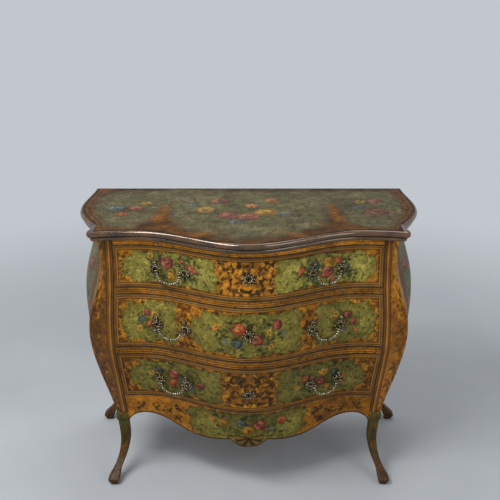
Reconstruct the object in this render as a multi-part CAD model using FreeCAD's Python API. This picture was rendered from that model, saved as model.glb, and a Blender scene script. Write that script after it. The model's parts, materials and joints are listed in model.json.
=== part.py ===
"""Serpentine bombe chest of three drawers on cabriole legs, in millimetres.

X runs across the chest, the front faces -Y and Z is up.
The origin is on the floor under the middle of the top.
"""

import FreeCAD
import Part
import math
import os
from FreeCAD import Vector

# Overall plan of the top
WIDTH = 1100.0
DEPTH = 560.0
TOP_BOW = 118.0
BOW_SET = 200.0
EAR_SET = 66.0
EAR_RISE = 16.0
EAR_NOSE = 7.0
EAR_DEPTH = 38.0
NOTCH_DEPTH = 6.0

# Heights, from the floor up
LEG_HEIGHT = 240.0
KNEE_HEIGHT = 74.0
LOW_DRAWER_HEIGHT = 164.0
LOW_RAIL_HEIGHT = 30.0
MID_DRAWER_HEIGHT = 178.0
HIGH_RAIL_HEIGHT = 24.0
HIGH_DRAWER_HEIGHT = 135.0
FRIEZE_HEIGHT = 21.0
SUB_TOP_THICK = 14.0
TOP_THICK = 20.0

# Case shape: set-backs and widths where the case is narrowest, and how far each line swells
CASE_BOW = 110.0
FRONT_FOOT_SET = 68.0
FRONT_SWELL = 51.0
OPENING_SET = 152.0
OPENING_SWELL = 27.0
STILE_STRIP = 18.0
CANT_WIDTH = 22.0
STILE_SWELL = 73.0
SIDE_REACH = 19.0
SIDE_SWELL = 88.0
BACK_REACH = 43.0
BACK_SWELL = 28.0
APRON_DROP = 75.0
BACK_OVERHANG = 6.0

# Boards and rails
SUB_TOP_SET = 9.0
FRAME_DEPTH = 210.0
SIDE_THICK = 22.0
POST_DEPTH = 50.0
BACK_THICK = 12.0
BOARD_GAP = 0.6
BOTTOM_THICK = 14.0
APRON_THICK = 28.0
APRON_EAR = 8.0
FIT_GAP = 0.5
TENON_LENGTH = 22.0
TENON_DEPTH = 34.0
SIDE_ARCH_RISE = 42.0
RUNNER_THICK = 18.0
RUNNER_BEARING = 14.0
RUNNER_WIDTH = 56.0
GUIDE_HEIGHT = 24.0

# Drawers
REVEAL = 1.2
RUN_GAP = 0.35
GUIDE_GAP = 1.6
FRONT_THICK = 24.0
BEAD_WIDTH = 5.0
BEAD_RISE = 1.4
BOX_MARGIN = 4.0
BOX_HEADROOM = 12.0
BOX_SIDE_THICK = 12.0
BOX_BACK_THICK = 12.0
BOX_BOTTOM_THICK = 9.0
BOX_BOTTOM_RISE = 8.0
GROOVE_DEPTH = 6.0
BACK_STOP_GAP = 0.5

# Handles and locks
HANDLE_SET = 158.0
POST_SPACING = 98.0
ROSETTE_RADIUS = 16.0
ROSETTE_RIM = 2.0
ROSETTE_BOSS = 5.0
EYE_STANDOFF = 17.0
EYE_RADIUS = 6.5
HANDLE_POST_RADIUS = 4.0
NUT_RADIUS = 8.0
NUT_THICK = 5.0
PIN_RADIUS = 2.4
PIN_PLAY = 0.08
BAIL_DROP = 38.0
BAIL_RADIUS = 3.4
BAIL_BULB_RADIUS = 5.6
BAIL_KNUCKLE_RADIUS = 4.4
BAIL_KNUCKLE_LENGTH = 9.0
BAIL_SHOULDER_GAP = 0.4
SEAT_GAP = 0.15
PLATE_HALF = 16.0
PLATE_THICK = 2.0
KEYHOLE_RADIUS = 3.2
KEYHOLE_SLOT = 3.2
KEYHOLE_DROP = 10.0
LOCK_WIDTH = 62.0
LOCK_DEPTH = 13.0
LOCK_TAIL = 22.0
LOCK_TOP_COVER = 8.0
LOCK_PLAY = 0.3
BOLT_WIDTH = 26.0
BOLT_DEPTH = 6.0
BOLT_LENGTH = 34.0
BOLT_THROW = 9.0
BOLT_PLAY = 0.35

# Legs
LEG_HALF = 21.0
FRONT_LEG_SET = 23.0
REAR_LEG_SET = 22.0
FRONT_SPLAY_X = 34.0
FRONT_SPLAY_Y = -80.0
REAR_SPLAY_X = 55.0
LEG_TENON_RADIUS = 10.0
LEG_TENON_LENGTH = 40.0

# One overrun for every cut that must pass right through
OVERRUN = 5.0

# Swell of the case from foot to top, as shares of the height and of each swell
HEIGHT_SHARES = (0.0, 0.10, 0.18, 0.25, 0.35, 0.45, 0.55, 0.64, 0.74, 0.83, 0.91, 1.0)
FRONT_SHARES = (0.0, 0.18, 0.31, 0.47, 0.73, 0.94, 1.0, 0.98, 0.87, 0.75, 0.66, 0.65)
OPENING_SHARES = (0.0, 0.15, 0.33, 0.48, 0.70, 0.93, 1.0, 0.93, 0.78, 0.70, 0.70, 0.70)
STILE_SHARES = (0.0, 0.11, 0.26, 0.47, 0.73, 0.93, 1.0, 0.88, 0.55, 0.31, 0.27, 0.47)
SIDE_SHARES = (0.0, 0.05, 0.14, 0.26, 0.49, 0.75, 0.94, 1.0, 0.95, 0.78, 0.60, 0.55)
CANT_SHARE = 0.6

# Plan of a case side: share of the depth, then share of the way out to the widest line or back in from it
SIDE_OUT_SHARES = ((0.12, 0.20), (0.22, 0.48), (0.36, 0.86), (0.50, 1.0))
SIDE_IN_SHARES = ((0.75, 0.66), (1.0, 0.0))
# Plan of the top's side: share of the depth behind the ear, share of the way out from notch to full width
TOP_SIDE_SHARES = ((0.04, 0.0), (0.14, 0.22), (0.23, 0.51), (0.36, 0.84), (0.50, 1.0), (0.70, 0.96),
                   (1.0, 0.79))
FRONT_STEPS = 9

# Rolled edge of the top and of the board under it: share of the thickness, share of the roll cut back
ROLL_SHARES = ((0.0, 1.0), (0.10, 0.44), (0.28, 0.10), (0.5, 0.0), (0.72, 0.10), (0.90, 0.44), (1.0, 1.0))
ROLL_DEPTH_SHARE = 0.42

# Lower edge of the apron: share of the opening's half width, then of the knee and drop under the drawer
APRON_EDGE_SHARES = ((0.14, 0.79), (0.22, 0.84), (0.36, 0.88), (0.47, 0.83), (0.60, 0.67), (0.72, 0.54),
                     (0.80, 0.505), (0.86, 0.52), (0.905, 0.58), (0.94, 0.68), (0.97, 0.78))
APRON_NOTCH_SHARES = ((0.0, 0.97), (0.06, 0.95), (0.11, 0.87))

# Leg: share of the height, share of the splay, share of the half width at the top
LEG_SHARES = ((1.0, 0.0, 0.96), (0.965, 0.0, 1.04), (0.91, 0.0, 1.02), (0.86, 0.0, 0.90),
              (0.79, 0.0, 0.82), (0.63, -0.06, 0.79), (0.48, -0.02, 0.74), (0.35, 0.16, 0.66),
              (0.25, 0.43, 0.59), (0.17, 0.70, 0.66), (0.115, 0.87, 0.84), (0.07, 0.97, 0.88),
              (0.035, 0.96, 0.70), (0.0, 0.93, 0.60))
LEG_ROUND_SHARE = 0.45

# Bail: share of the way from the middle to the shoulder, share of the drop
BAIL_SHARES = ((1.0, 0.0), (1.02, 0.26), (0.93, 0.55), (0.72, 0.80), (0.42, 0.93))

# Height of the handle axis and of the keyhole in each drawer, as shares of the drawer's height
HANDLE_HEIGHT_SHARES = {"lower_drawer": 0.44, "middle_drawer": 0.46, "upper_drawer": 0.46}
KEYHOLE_HEIGHT_SHARES = {"lower_drawer": 0.42, "middle_drawer": 0.50, "upper_drawer": 0.52}

# Levels worked out from the stack of heights
LOW_BOTTOM = LEG_HEIGHT + KNEE_HEIGHT
LOW_TOP = LOW_BOTTOM + LOW_DRAWER_HEIGHT
MID_BOTTOM = LOW_TOP + LOW_RAIL_HEIGHT
MID_TOP = MID_BOTTOM + MID_DRAWER_HEIGHT
HIGH_BOTTOM = MID_TOP + HIGH_RAIL_HEIGHT
HIGH_TOP = HIGH_BOTTOM + HIGH_DRAWER_HEIGHT
CASE_TOP = HIGH_TOP + FRIEZE_HEIGHT
BOARD_BOTTOM = CASE_TOP + SUB_TOP_THICK
CASE_FOOT = LEG_HEIGHT - APRON_DROP
CASE_HEIGHT = CASE_TOP - CASE_FOOT
DRAWERS = {
    "lower_drawer": (LOW_BOTTOM, LOW_TOP),
    "middle_drawer": (MID_BOTTOM, MID_TOP),
    "upper_drawer": (HIGH_BOTTOM, HIGH_TOP),
}

# Half widths worked out from the width of the top inwards, then from the openings outwards
BOW_HALF = WIDTH / 2 - BOW_SET
EAR_HALF = WIDTH / 2 - EAR_SET
NOTCH_HALF = EAR_HALF - NOTCH_DEPTH
OPENING_FOOT_HALF = WIDTH / 2 - OPENING_SET
STILE_FOOT_HALF = OPENING_FOOT_HALF + STILE_STRIP + CANT_WIDTH
SIDE_FOOT_HALF = STILE_FOOT_HALF + SIDE_REACH
BACK_FOOT_HALF = SIDE_FOOT_HALF + BACK_REACH
HANDLE_HALF = OPENING_FOOT_HALF - HANDLE_SET
FRONT_LEG_X = OPENING_FOOT_HALF + FRONT_LEG_SET
REAR_LEG_X = BACK_FOOT_HALF - REAR_LEG_SET

# Planes worked out from the depth
FRONT_Y = -DEPTH / 2
BOARD_BACK_Y = DEPTH / 2 - BACK_OVERHANG
CASE_BACK_Y = BOARD_BACK_Y - BACK_THICK
FRAME_BACK_Y = FRONT_Y + FRAME_DEPTH
POST_FRONT_Y = CASE_BACK_Y - POST_DEPTH
RIGHT = Vector(1, 0, 0)
UP = Vector(0, 0, 1)


def spline(points):
    curve = Part.BSplineCurve()
    curve.interpolate(points)
    return curve.toShape()


def line(start, end):
    return Part.LineSegment(start, end).toShape()


def box(x0, x1, y0, y1, z0, z1):
    return Part.makeBox(x1 - x0, y1 - y0, z1 - z0, Vector(x0, y0, z0))


def moved(shape, x=0.0, y=0.0, z=0.0):
    copy = shape.copy()
    copy.translate(Vector(x, y, z))
    return copy


def mirrored(shape):
    return shape.mirror(Vector(0, 0, 0), RIGHT)


def flipped(points):
    return [Vector(-p.x, p.y, p.z) for p in reversed(points)]


def serpentine(x, bow):
    """How far the front falls back at x from its middle."""
    reach = abs(x)
    if reach <= BOW_HALF:
        return bow * (1 - math.cos(math.pi * reach / BOW_HALF)) / 2
    return bow - EAR_RISE * ((reach - BOW_HALF) / (EAR_HALF - BOW_HALF)) ** 2


def opening_half(i):
    return OPENING_FOOT_HALF + OPENING_SWELL * OPENING_SHARES[i]


def case_section(i):
    """Plan of the case at one height: front, right stile, right side, back, left side, left stile."""
    z = CASE_FOOT + CASE_HEIGHT * HEIGHT_SHARES[i]
    arris = opening_half(i) + STILE_STRIP
    set_back = FRONT_Y + FRONT_FOOT_SET - FRONT_SWELL * FRONT_SHARES[i]
    front = []
    for k in range(-FRONT_STEPS, FRONT_STEPS + 1):
        x = arris * k / FRONT_STEPS
        front.append(Vector(x, set_back + serpentine(x, CASE_BOW), z))
    edge = STILE_FOOT_HALF + STILE_SWELL * STILE_SHARES[i]
    edge_y = front[-1].y + CANT_SHARE * (edge - arris)
    widest = SIDE_FOOT_HALF + SIDE_SWELL * SIDE_SHARES[i]
    back = BACK_FOOT_HALF + BACK_SWELL * SIDE_SHARES[i]
    run = CASE_BACK_Y - edge_y
    side = [Vector(edge, edge_y, z)]
    for depth, share in SIDE_OUT_SHARES:
        side.append(Vector(edge + share * (widest - edge), edge_y + depth * run, z))
    for depth, share in SIDE_IN_SHARES:
        side.append(Vector(back + share * (widest - back), edge_y + depth * run, z))
    other = flipped(side)
    return Part.Wire([
        spline(front),
        line(front[-1], side[0]),
        spline(side),
        line(side[-1], other[0]),
        spline(other),
        line(other[-1], front[0]),
    ])


CASE = Part.makeLoft([case_section(i) for i in range(len(HEIGHT_SHARES))], True, False)


def column(inset):
    """The drawer openings from foot to top of the case, narrowed by inset at each end."""
    edge = []
    for i, share in enumerate(HEIGHT_SHARES):
        edge.append(Vector(opening_half(i) - inset, 0, CASE_FOOT + CASE_HEIGHT * share))
    other = flipped(edge)
    wire = Part.Wire([line(other[-1], edge[0]), spline(edge), line(edge[-1], other[0]), spline(other)])
    face = Part.Face(wire)
    face.translate(Vector(0, -DEPTH, 0))
    return face.extrude(Vector(0, 2 * DEPTH, 0))


OPENING = column(0)


def prism(z0, z1, inset=0.0):
    """Straight block through the drawer openings between two levels, inset all round."""
    slab = box(-WIDTH, WIDTH, -DEPTH, DEPTH, z0 + inset, z1 - inset)
    return column(inset).common(slab)


def front_y(x, z):
    """Y of the case's front surface."""
    probe = line(Vector(x, -DEPTH, z), Vector(x, 0, z)).common(CASE)
    return min(v.Point.y for v in probe.Vertexes)


def front_normal(x, z):
    """Unit vector out of the case's front surface."""
    step = POST_SPACING / FRONT_STEPS
    slope_x = (front_y(x + step, z) - front_y(x - step, z)) / (2 * step)
    slope_z = (front_y(x, z + step) - front_y(x, z - step)) / (2 * step)
    return Vector(slope_x, -1, slope_z).normalize()


def top_outline(inset, z):
    """Plan of the top: serpentine front, rounded ears, shaped sides, straight back."""
    ear = EAR_HALF - inset
    front = []
    for k in range(-FRONT_STEPS, FRONT_STEPS + 1):
        x = ear * k / FRONT_STEPS
        front.append(Vector(x, FRONT_Y + inset + serpentine(x, TOP_BOW), z))
    start = front[-1]
    ear_back = FRONT_Y + TOP_BOW - EAR_RISE + EAR_DEPTH
    side = [Vector(ear, ear_back, z)]
    for depth, share in TOP_SIDE_SHARES:
        x = NOTCH_HALF + share * (WIDTH / 2 - NOTCH_HALF) - inset
        side.append(Vector(x, ear_back + depth * (DEPTH / 2 - ear_back), z))
    nose = Vector(ear + EAR_NOSE, (start.y + ear_back) / 2, z)
    other = flipped(side)
    nose_left = Vector(-nose.x, nose.y, z)
    return Part.Wire([
        spline(front),
        Part.Arc(start, nose, side[0]).toShape(),
        spline(side),
        line(side[-1], other[0]),
        spline(other),
        Part.Arc(other[-1], nose_left, front[0]).toShape(),
    ])


def rolled_board(inset, z, thick):
    """Board with the top's plan and a rolled edge."""
    roll = thick * ROLL_DEPTH_SHARE
    layers = [top_outline(inset + roll * cut, z + thick * share) for share, cut in ROLL_SHARES]
    return Part.makeLoft(layers, True, False)


PARTS = {}


def add_pair(name, shape):
    """A right-hand piece and its mirror image."""
    PARTS["right_" + name] = shape
    PARTS["left_" + name] = mirrored(shape)


def build_top():
    PARTS["top_board"] = rolled_board(0, BOARD_BOTTOM, TOP_THICK)
    board = rolled_board(SUB_TOP_SET, CASE_TOP, SUB_TOP_THICK)
    behind = box(-WIDTH, WIDTH, BOARD_BACK_Y, DEPTH, CASE_TOP - OVERRUN, BOARD_BOTTOM + OVERRUN)
    PARTS["sub_top"] = board.cut(behind)


def tenon(z0, z1, y0, y1):
    """Pair of end tenons reaching from a rail into both stiles, as one bar."""
    half = OPENING_FOOT_HALF + OPENING_SWELL + TENON_LENGTH
    return box(-half, half, y0, y1, z0, z1)


def build_frame():
    """Rails between the stiles, stiles mortised for them, then the apron between stiles and knees."""
    rails = {
        "frieze_rail": (HIGH_TOP, CASE_TOP),
        "upper_rail": (MID_TOP, HIGH_BOTTOM),
        "lower_rail": (LOW_TOP, MID_BOTTOM),
    }
    bars = []
    for name, (z0, z1) in rails.items():
        slab = box(-WIDTH, WIDTH, -DEPTH, FRAME_BACK_Y, z0, z1)
        rail = CASE.common(OPENING.common(slab))
        shoulder = (z1 - z0) / 4
        bar = tenon(z0 + shoulder, z1 - shoulder, FRAME_BACK_Y - TENON_DEPTH, FRAME_BACK_Y)
        bars.append(bar)
        PARTS[name] = rail.fuse(bar.cut(OPENING)).removeSplitter()
    stile = CASE.common(box(0, WIDTH, -DEPTH, FRAME_BACK_Y, LEG_HEIGHT, CASE_TOP)).cut(OPENING)
    for bar in bars:
        stile = stile.cut(bar)
    peg = leg_tenon(FRONT_LEG_X, front_leg_y())
    add_pair("stile", stile.cut(peg))
    PARTS["apron"] = build_apron()


def build_apron():
    """Curved board below the low drawer with a scalloped lower edge and a carved drop in the middle."""
    board = CASE.common(column(-APRON_EAR)).cut(moved(CASE, y=APRON_THICK))
    depth = KNEE_HEIGHT + APRON_DROP
    half = OPENING_FOOT_HALF + OPENING_SWELL
    edge = [Vector(x * half, 0, LOW_BOTTOM - share * depth) for x, share in APRON_EDGE_SHARES]
    drop = [Vector(x * half, 0, LOW_BOTTOM - share * depth) for x, share in APRON_NOTCH_SHARES]
    drop_curve = [Vector(-p.x, 0, p.z) for p in reversed(drop[1:])] + drop
    top_right = Vector(edge[-1].x, 0, LOW_BOTTOM)
    top_left = Vector(-top_right.x, 0, LOW_BOTTOM)
    wire = Part.Wire([
        spline(drop_curve),
        line(drop[-1], edge[0]),
        spline(edge),
        line(edge[-1], top_right),
        line(top_right, top_left),
        line(top_left, flipped(edge)[0]),
        spline(flipped(edge)),
        line(flipped(edge)[-1], drop_curve[0]),
    ])
    face = Part.Face(wire)
    face.translate(Vector(0, -DEPTH, 0))
    board = board.common(face.extrude(Vector(0, 2 * DEPTH, 0)))
    knee = leg(FRONT_LEG_X, front_leg_y(), FRONT_SPLAY_X, FRONT_SPLAY_Y, FIT_GAP)
    for piece in (PARTS["right_stile"], PARTS["left_stile"], knee, mirrored(knee)):
        board = board.cut(piece)
    return board


def front_leg_y():
    """Middle of the stile's foot, front to back."""
    return (front_y(FRONT_LEG_X, LEG_HEIGHT) + FRAME_BACK_Y) / 2


def leg_tenon(x, y):
    return Part.makeCylinder(LEG_TENON_RADIUS, LEG_TENON_LENGTH, Vector(x, y, LEG_HEIGHT), UP)


def leg_section(x, y, z, half):
    """Square with rounded corners, level."""
    round_off = half * LEG_ROUND_SHARE
    flat = half - round_off
    corner = flat + round_off * math.sqrt(2) / 2
    edges = []
    for k in range(4):
        turn = FreeCAD.Rotation(UP, 90 * k)
        corners = ((half, -flat), (half, flat), (corner, corner), (flat, half))
        a, b, c, d = [turn.multVec(Vector(u, v, 0)) + Vector(x, y, z) for u, v in corners]
        edges.append(line(a, b))
        edges.append(Part.Arc(b, c, d).toShape())
    return Part.Wire(edges)


def leg(x, y, splay_x, splay_y, grown=0.0):
    layers = []
    for height, splay, half in LEG_SHARES:
        at_x = x + splay * splay_x
        at_y = y + splay * splay_y
        layers.append(leg_section(at_x, at_y, height * LEG_HEIGHT, half * LEG_HALF + grown))
    return Part.makeLoft(layers, True, False).fuse(leg_tenon(x, y)).removeSplitter()


def build_legs():
    add_pair("front_leg", leg(FRONT_LEG_X, front_leg_y(), FRONT_SPLAY_X, FRONT_SPLAY_Y))
    add_pair("rear_leg", leg(REAR_LEG_X, (POST_FRONT_Y + CASE_BACK_Y) / 2, REAR_SPLAY_X, 0))


def runner_inner():
    return box_half() - RUNNER_BEARING


def box_half():
    """Half width of every drawer box, clear of the narrowest opening."""
    return opening_half_at_low() - REVEAL - BOX_MARGIN


def opening_half_at_low():
    probe = line(Vector(0, 0, LOW_BOTTOM), Vector(WIDTH, 0, LOW_BOTTOM)).common(OPENING)
    return max(v.Point.x for v in probe.Vertexes)


def build_case():
    side = CASE.common(box(0, WIDTH, FRAME_BACK_Y, POST_FRONT_Y, LEG_HEIGHT, CASE_TOP))
    side = side.cut(moved(CASE, x=-SIDE_THICK))
    middle = Vector(0, (FRAME_BACK_Y + POST_FRONT_Y) / 2, LEG_HEIGHT + SIDE_ARCH_RISE)
    start = Vector(0, FRAME_BACK_Y, LEG_HEIGHT)
    end = Vector(0, POST_FRONT_Y, LEG_HEIGHT)
    arch = Part.Face(Part.Wire([Part.Arc(start, middle, end).toShape(), line(end, start)]))
    add_pair("side_panel", side.cut(arch.extrude(Vector(WIDTH, 0, 0))))

    post_inner = runner_inner() + RUNNER_WIDTH - RUNNER_BEARING
    post = CASE.common(box(post_inner, WIDTH, POST_FRONT_Y, CASE_BACK_Y, LEG_HEIGHT, CASE_TOP))
    peg = leg_tenon(REAR_LEG_X, (POST_FRONT_Y + CASE_BACK_Y) / 2)
    add_pair("rear_post", post.cut(peg))

    back = moved(CASE, y=BACK_THICK).common(box(-WIDTH, WIDTH, CASE_BACK_Y, DEPTH, LEG_HEIGHT, CASE_TOP))
    for level in (LOW_TOP, MID_TOP):
        back = back.cut(box(-WIDTH, WIDTH, CASE_BACK_Y - OVERRUN, DEPTH, level, level + BOARD_GAP))
    PARTS["back_boards"] = back

    z1 = LOW_BOTTOM - RUNNER_THICK
    slab = box(-WIDTH, WIDTH, -DEPTH, CASE_BACK_Y, z1 - BOTTOM_THICK, z1)
    board = moved(CASE, x=-SIDE_THICK).common(moved(CASE, x=SIDE_THICK)).common(moved(CASE, y=APRON_THICK))
    board = board.common(slab)
    for name in ("right_stile", "left_stile", "right_rear_post", "left_rear_post"):
        board = board.cut(PARTS[name])
    PARTS["bottom_board"] = board


def build_runners():
    """Rabbeted runners from stile to rear post, one below each end of each drawer."""
    bars = []
    for z0, _ in DRAWERS.values():
        inner = runner_inner()
        outer = inner + RUNNER_WIDTH
        bar = box(inner, outer, FRAME_BACK_Y, POST_FRONT_Y, z0 - RUNNER_THICK, z0)
        guide = box(box_half() + GUIDE_GAP, outer, FRAME_BACK_Y, POST_FRONT_Y, z0, z0 + GUIDE_HEIGHT)
        bars.append(bar.fuse(guide).removeSplitter().common(moved(CASE, x=-SIDE_THICK - FIT_GAP)))
    add_pair("runners", Part.makeCompound(bars))


def keyhole(z):
    """Keyhole through a drawer front, a round eye with a slot below it."""
    eye = Part.makeCylinder(KEYHOLE_RADIUS, DEPTH, Vector(0, -DEPTH, z), Vector(0, 1, 0))
    slot = box(-KEYHOLE_SLOT / 2, KEYHOLE_SLOT / 2, -DEPTH, 0, z - KEYHOLE_DROP, z)
    return eye.fuse(slot)


def build_box(name, z0, z1):
    """Sides, back and bottom of one drawer behind its front."""
    half = box_half()
    rear = CASE_BACK_Y - BACK_STOP_GAP
    foot = z0 + RUN_GAP
    head = z1 - BOX_HEADROOM
    inside = moved(CASE, y=FRONT_THICK)
    floor = foot + BOX_BOTTOM_RISE
    inner = half - BOX_SIDE_THICK
    bottom = box(-inner - GROOVE_DEPTH, inner + GROOVE_DEPTH, -DEPTH, rear, floor, floor + BOX_BOTTOM_THICK)
    bottom = bottom.common(inside)
    side = box(inner, half, -DEPTH, rear, foot, head).common(inside).cut(bottom)
    PARTS[name + "_right_side"] = side
    PARTS[name + "_left_side"] = mirrored(side)
    PARTS[name + "_back"] = box(-inner, inner, rear - BOX_BACK_THICK, rear, floor + BOX_BOTTOM_THICK, head)
    PARTS[name + "_bottom"] = bottom


def lock_levels(name, z0, z1):
    """Bottom and top of a lock case."""
    key = z0 + KEYHOLE_HEIGHT_SHARES[name] * (z1 - z0)
    return key - LOCK_TAIL, z1 - REVEAL - LOCK_TOP_COVER


def build_lock(name, z0, z1):
    """Lock case let into the back of the front, with a bolt that rises into the rail above."""
    key = z0 + KEYHOLE_HEIGHT_SHARES[name] * (z1 - z0)
    foot, head = lock_levels(name, z0, z1)
    rear = front_y(LOCK_WIDTH / 2, foot) + FRONT_THICK
    half = LOCK_WIDTH / 2
    pocket = box(-half - LOCK_PLAY, half + LOCK_PLAY, rear - LOCK_DEPTH - LOCK_PLAY, 0,
                 foot - LOCK_PLAY, head + LOCK_PLAY)
    body = box(-half, half, rear - LOCK_DEPTH, rear, foot, head)
    bolt_y = rear - LOCK_DEPTH / 2
    wide = BOLT_WIDTH / 2
    deep = BOLT_DEPTH / 2
    tip = z1 - REVEAL
    bolt = box(-wide, wide, bolt_y - deep, bolt_y + deep, tip - BOLT_LENGTH, tip)
    play = BOLT_PLAY
    run = box(-wide - play, wide + play, bolt_y - deep - play, bolt_y + deep + play,
              tip - BOLT_LENGTH - play, z1 + BOLT_THROW + play)
    PARTS[name + "_lock_case"] = body.cut(run).cut(keyhole(key))
    PARTS[name + "_lock_bolt"] = bolt
    return pocket, run


def handle_frame(side, z):
    """Middle of a handle's hinge line, its direction to the right and the level way out of the front."""
    x0 = side * HANDLE_HALF - POST_SPACING / 2
    x1 = side * HANDLE_HALF + POST_SPACING / 2
    left = Vector(x0, front_y(x0, z), z)
    right = Vector(x1, front_y(x1, z), z)
    along = (right - left).normalize()
    out = Vector(along.y, -along.x, 0)
    return left, right, along, out


def rosette(centre, normal):
    """Turned rosette before it is seated on the front."""
    depth = ROSETTE_BOSS
    profile = [
        Vector(0, 0, -depth),
        Vector(ROSETTE_RADIUS, 0, -depth),
        Vector(ROSETTE_RADIUS, 0, ROSETTE_RIM),
        Vector(ROSETTE_RADIUS * 3 / 4, 0, ROSETTE_RIM * 3 / 2),
        Vector(ROSETTE_RADIUS / 2, 0, ROSETTE_BOSS),
        Vector(0, 0, ROSETTE_BOSS),
        Vector(0, 0, -depth),
    ]
    solid = Part.Face(Part.makePolygon(profile)).revolve(Vector(0, 0, 0), UP, 360)
    solid.Placement = FreeCAD.Placement(centre, FreeCAD.Rotation(UP, normal))
    return solid


def bail(axis_middle, along):
    """Hanging bail with pins that turn in the eyes of its two posts."""
    shoulder = POST_SPACING / 2 - EYE_RADIUS - BAIL_SHOULDER_GAP - BAIL_KNUCKLE_LENGTH / 2
    middle = Vector(0, 0, -BAIL_DROP)
    half = [Vector(x * shoulder, 0, -drop * BAIL_DROP) for x, drop in BAIL_SHARES]
    left = [Vector(-p.x, 0, p.z) for p in half]
    curve = spline(left + [middle] + half[::-1])
    ring = Part.Circle(left[0], curve.tangentAt(curve.FirstParameter), BAIL_RADIUS)
    solid = Part.Wire(curve).makePipeShell([Part.Wire(ring.toShape())], True, True)
    solid = solid.fuse(Part.makeSphere(BAIL_BULB_RADIUS, middle, RIGHT))
    reach = POST_SPACING / 2 + EYE_RADIUS / 2
    for sign in (-1, 1):
        outward = Vector(sign, 0, 0)
        knuckle_start = outward * (shoulder - BAIL_KNUCKLE_LENGTH / 2)
        knuckle = Part.makeCylinder(BAIL_KNUCKLE_RADIUS, BAIL_KNUCKLE_LENGTH, knuckle_start, outward)
        solid = solid.fuse(knuckle)
        solid = solid.fuse(Part.makeCylinder(PIN_RADIUS, reach - shoulder, outward * shoulder, outward))
    solid = solid.removeSplitter()
    solid.Placement = FreeCAD.Placement(axis_middle, FreeCAD.Rotation(RIGHT, along))
    return solid


def build_handles(name, z0, z1, front):
    """Rosettes, posts, nuts and bails of one drawer. Returns the front drilled for the posts."""
    z = z0 + HANDLE_HEIGHT_SHARES[name] * (z1 - z0)
    rosettes = []
    posts = []
    nuts = []
    for label, side in (("left", -1), ("right", 1)):
        left, right, along, out = handle_frame(side, z)
        lift = out * EYE_STANDOFF
        middle = (left + right) / 2 + lift
        PARTS[name + "_" + label + "_bail"] = bail(middle, along)
        for foot in (left, right):
            eye = foot + lift
            back = foot - out * (FRONT_THICK + NUT_THICK)
            shaft = Part.makeCylinder(HANDLE_POST_RADIUS, (eye - back).Length, back, out)
            head = Part.makeSphere(EYE_RADIUS, eye, along)
            reach = EYE_RADIUS + OVERRUN
            hole = Part.makeCylinder(PIN_RADIUS + PIN_PLAY, 2 * reach, eye - along * reach, along)
            post = shaft.fuse(head).removeSplitter().cut(hole)
            posts.append(post)
            bore = Part.makeCylinder(HANDLE_POST_RADIUS, 2 * DEPTH, foot - out * DEPTH, out)
            rosettes.append(rosette(foot, front_normal(foot.x, z)).cut(moved(CASE, y=-SEAT_GAP)).cut(bore))
            nut = Part.makeCylinder(NUT_RADIUS, FRONT_THICK, back, out)
            nuts.append(nut.common(moved(CASE, y=FRONT_THICK)).cut(bore))
            front = front.cut(bore)
    PARTS[name + "_rosettes"] = Part.makeCompound(rosettes)
    PARTS[name + "_handle_posts"] = Part.makeCompound(posts)
    PARTS[name + "_handle_nuts"] = Part.makeCompound(nuts)
    return front


def escutcheon(z):
    """Keyhole plate that follows the front, four lobes round a square."""
    plate = box(-PLATE_HALF / 2, PLATE_HALF / 2, -DEPTH, 0, z - PLATE_HALF / 2, z + PLATE_HALF / 2)
    for dx, dz in ((1, 0), (-1, 0), (0, 1), (0, -1)):
        centre = Vector(dx * PLATE_HALF / 2, -DEPTH, z + dz * PLATE_HALF / 2)
        plate = plate.fuse(Part.makeCylinder(PLATE_HALF / 2, DEPTH, centre, Vector(0, 1, 0)))
    plate = plate.removeSplitter().common(moved(CASE, y=-PLATE_THICK)).cut(moved(CASE, y=-SEAT_GAP))
    return plate.cut(keyhole(z))


def build_drawer(name):
    z0, z1 = DRAWERS[name]
    whole = prism(z0, z1, REVEAL)
    field = prism(z0, z1, REVEAL + BEAD_WIDTH)
    front = moved(CASE, y=-BEAD_RISE).common(whole).cut(moved(CASE, y=FRONT_THICK))
    front = front.cut(field.cut(CASE))
    pocket, run = build_lock(name, z0, z1)
    front = front.cut(pocket).cut(run)
    key = z0 + KEYHOLE_HEIGHT_SHARES[name] * (z1 - z0)
    front = front.cut(keyhole(key))
    PARTS[name + "_front"] = build_handles(name, z0, z1, front)
    PARTS[name + "_escutcheon"] = escutcheon(key)
    build_box(name, z0, z1)
    rails = {"lower_drawer": "lower_rail", "middle_drawer": "upper_rail", "upper_drawer": "frieze_rail"}
    above = rails[name]
    PARTS[above] = PARTS[above].cut(run)


build_top()
build_frame()
build_legs()
build_case()
build_runners()
for drawer in DRAWERS:
    build_drawer(drawer)

os.makedirs("parts", exist_ok=True)
for node, shape in PARTS.items():
    shape.exportStep("parts/" + node + ".step")
print(len(PARTS), "nodes")
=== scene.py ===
import json
import math

import bpy
import numpy as np
from bpy.props import FloatProperty, FloatVectorProperty, IntProperty, PointerProperty
from bpy.types import Operator, Panel, PropertyGroup
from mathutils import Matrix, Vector
from mathutils.bvhtree import BVHTree


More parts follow.
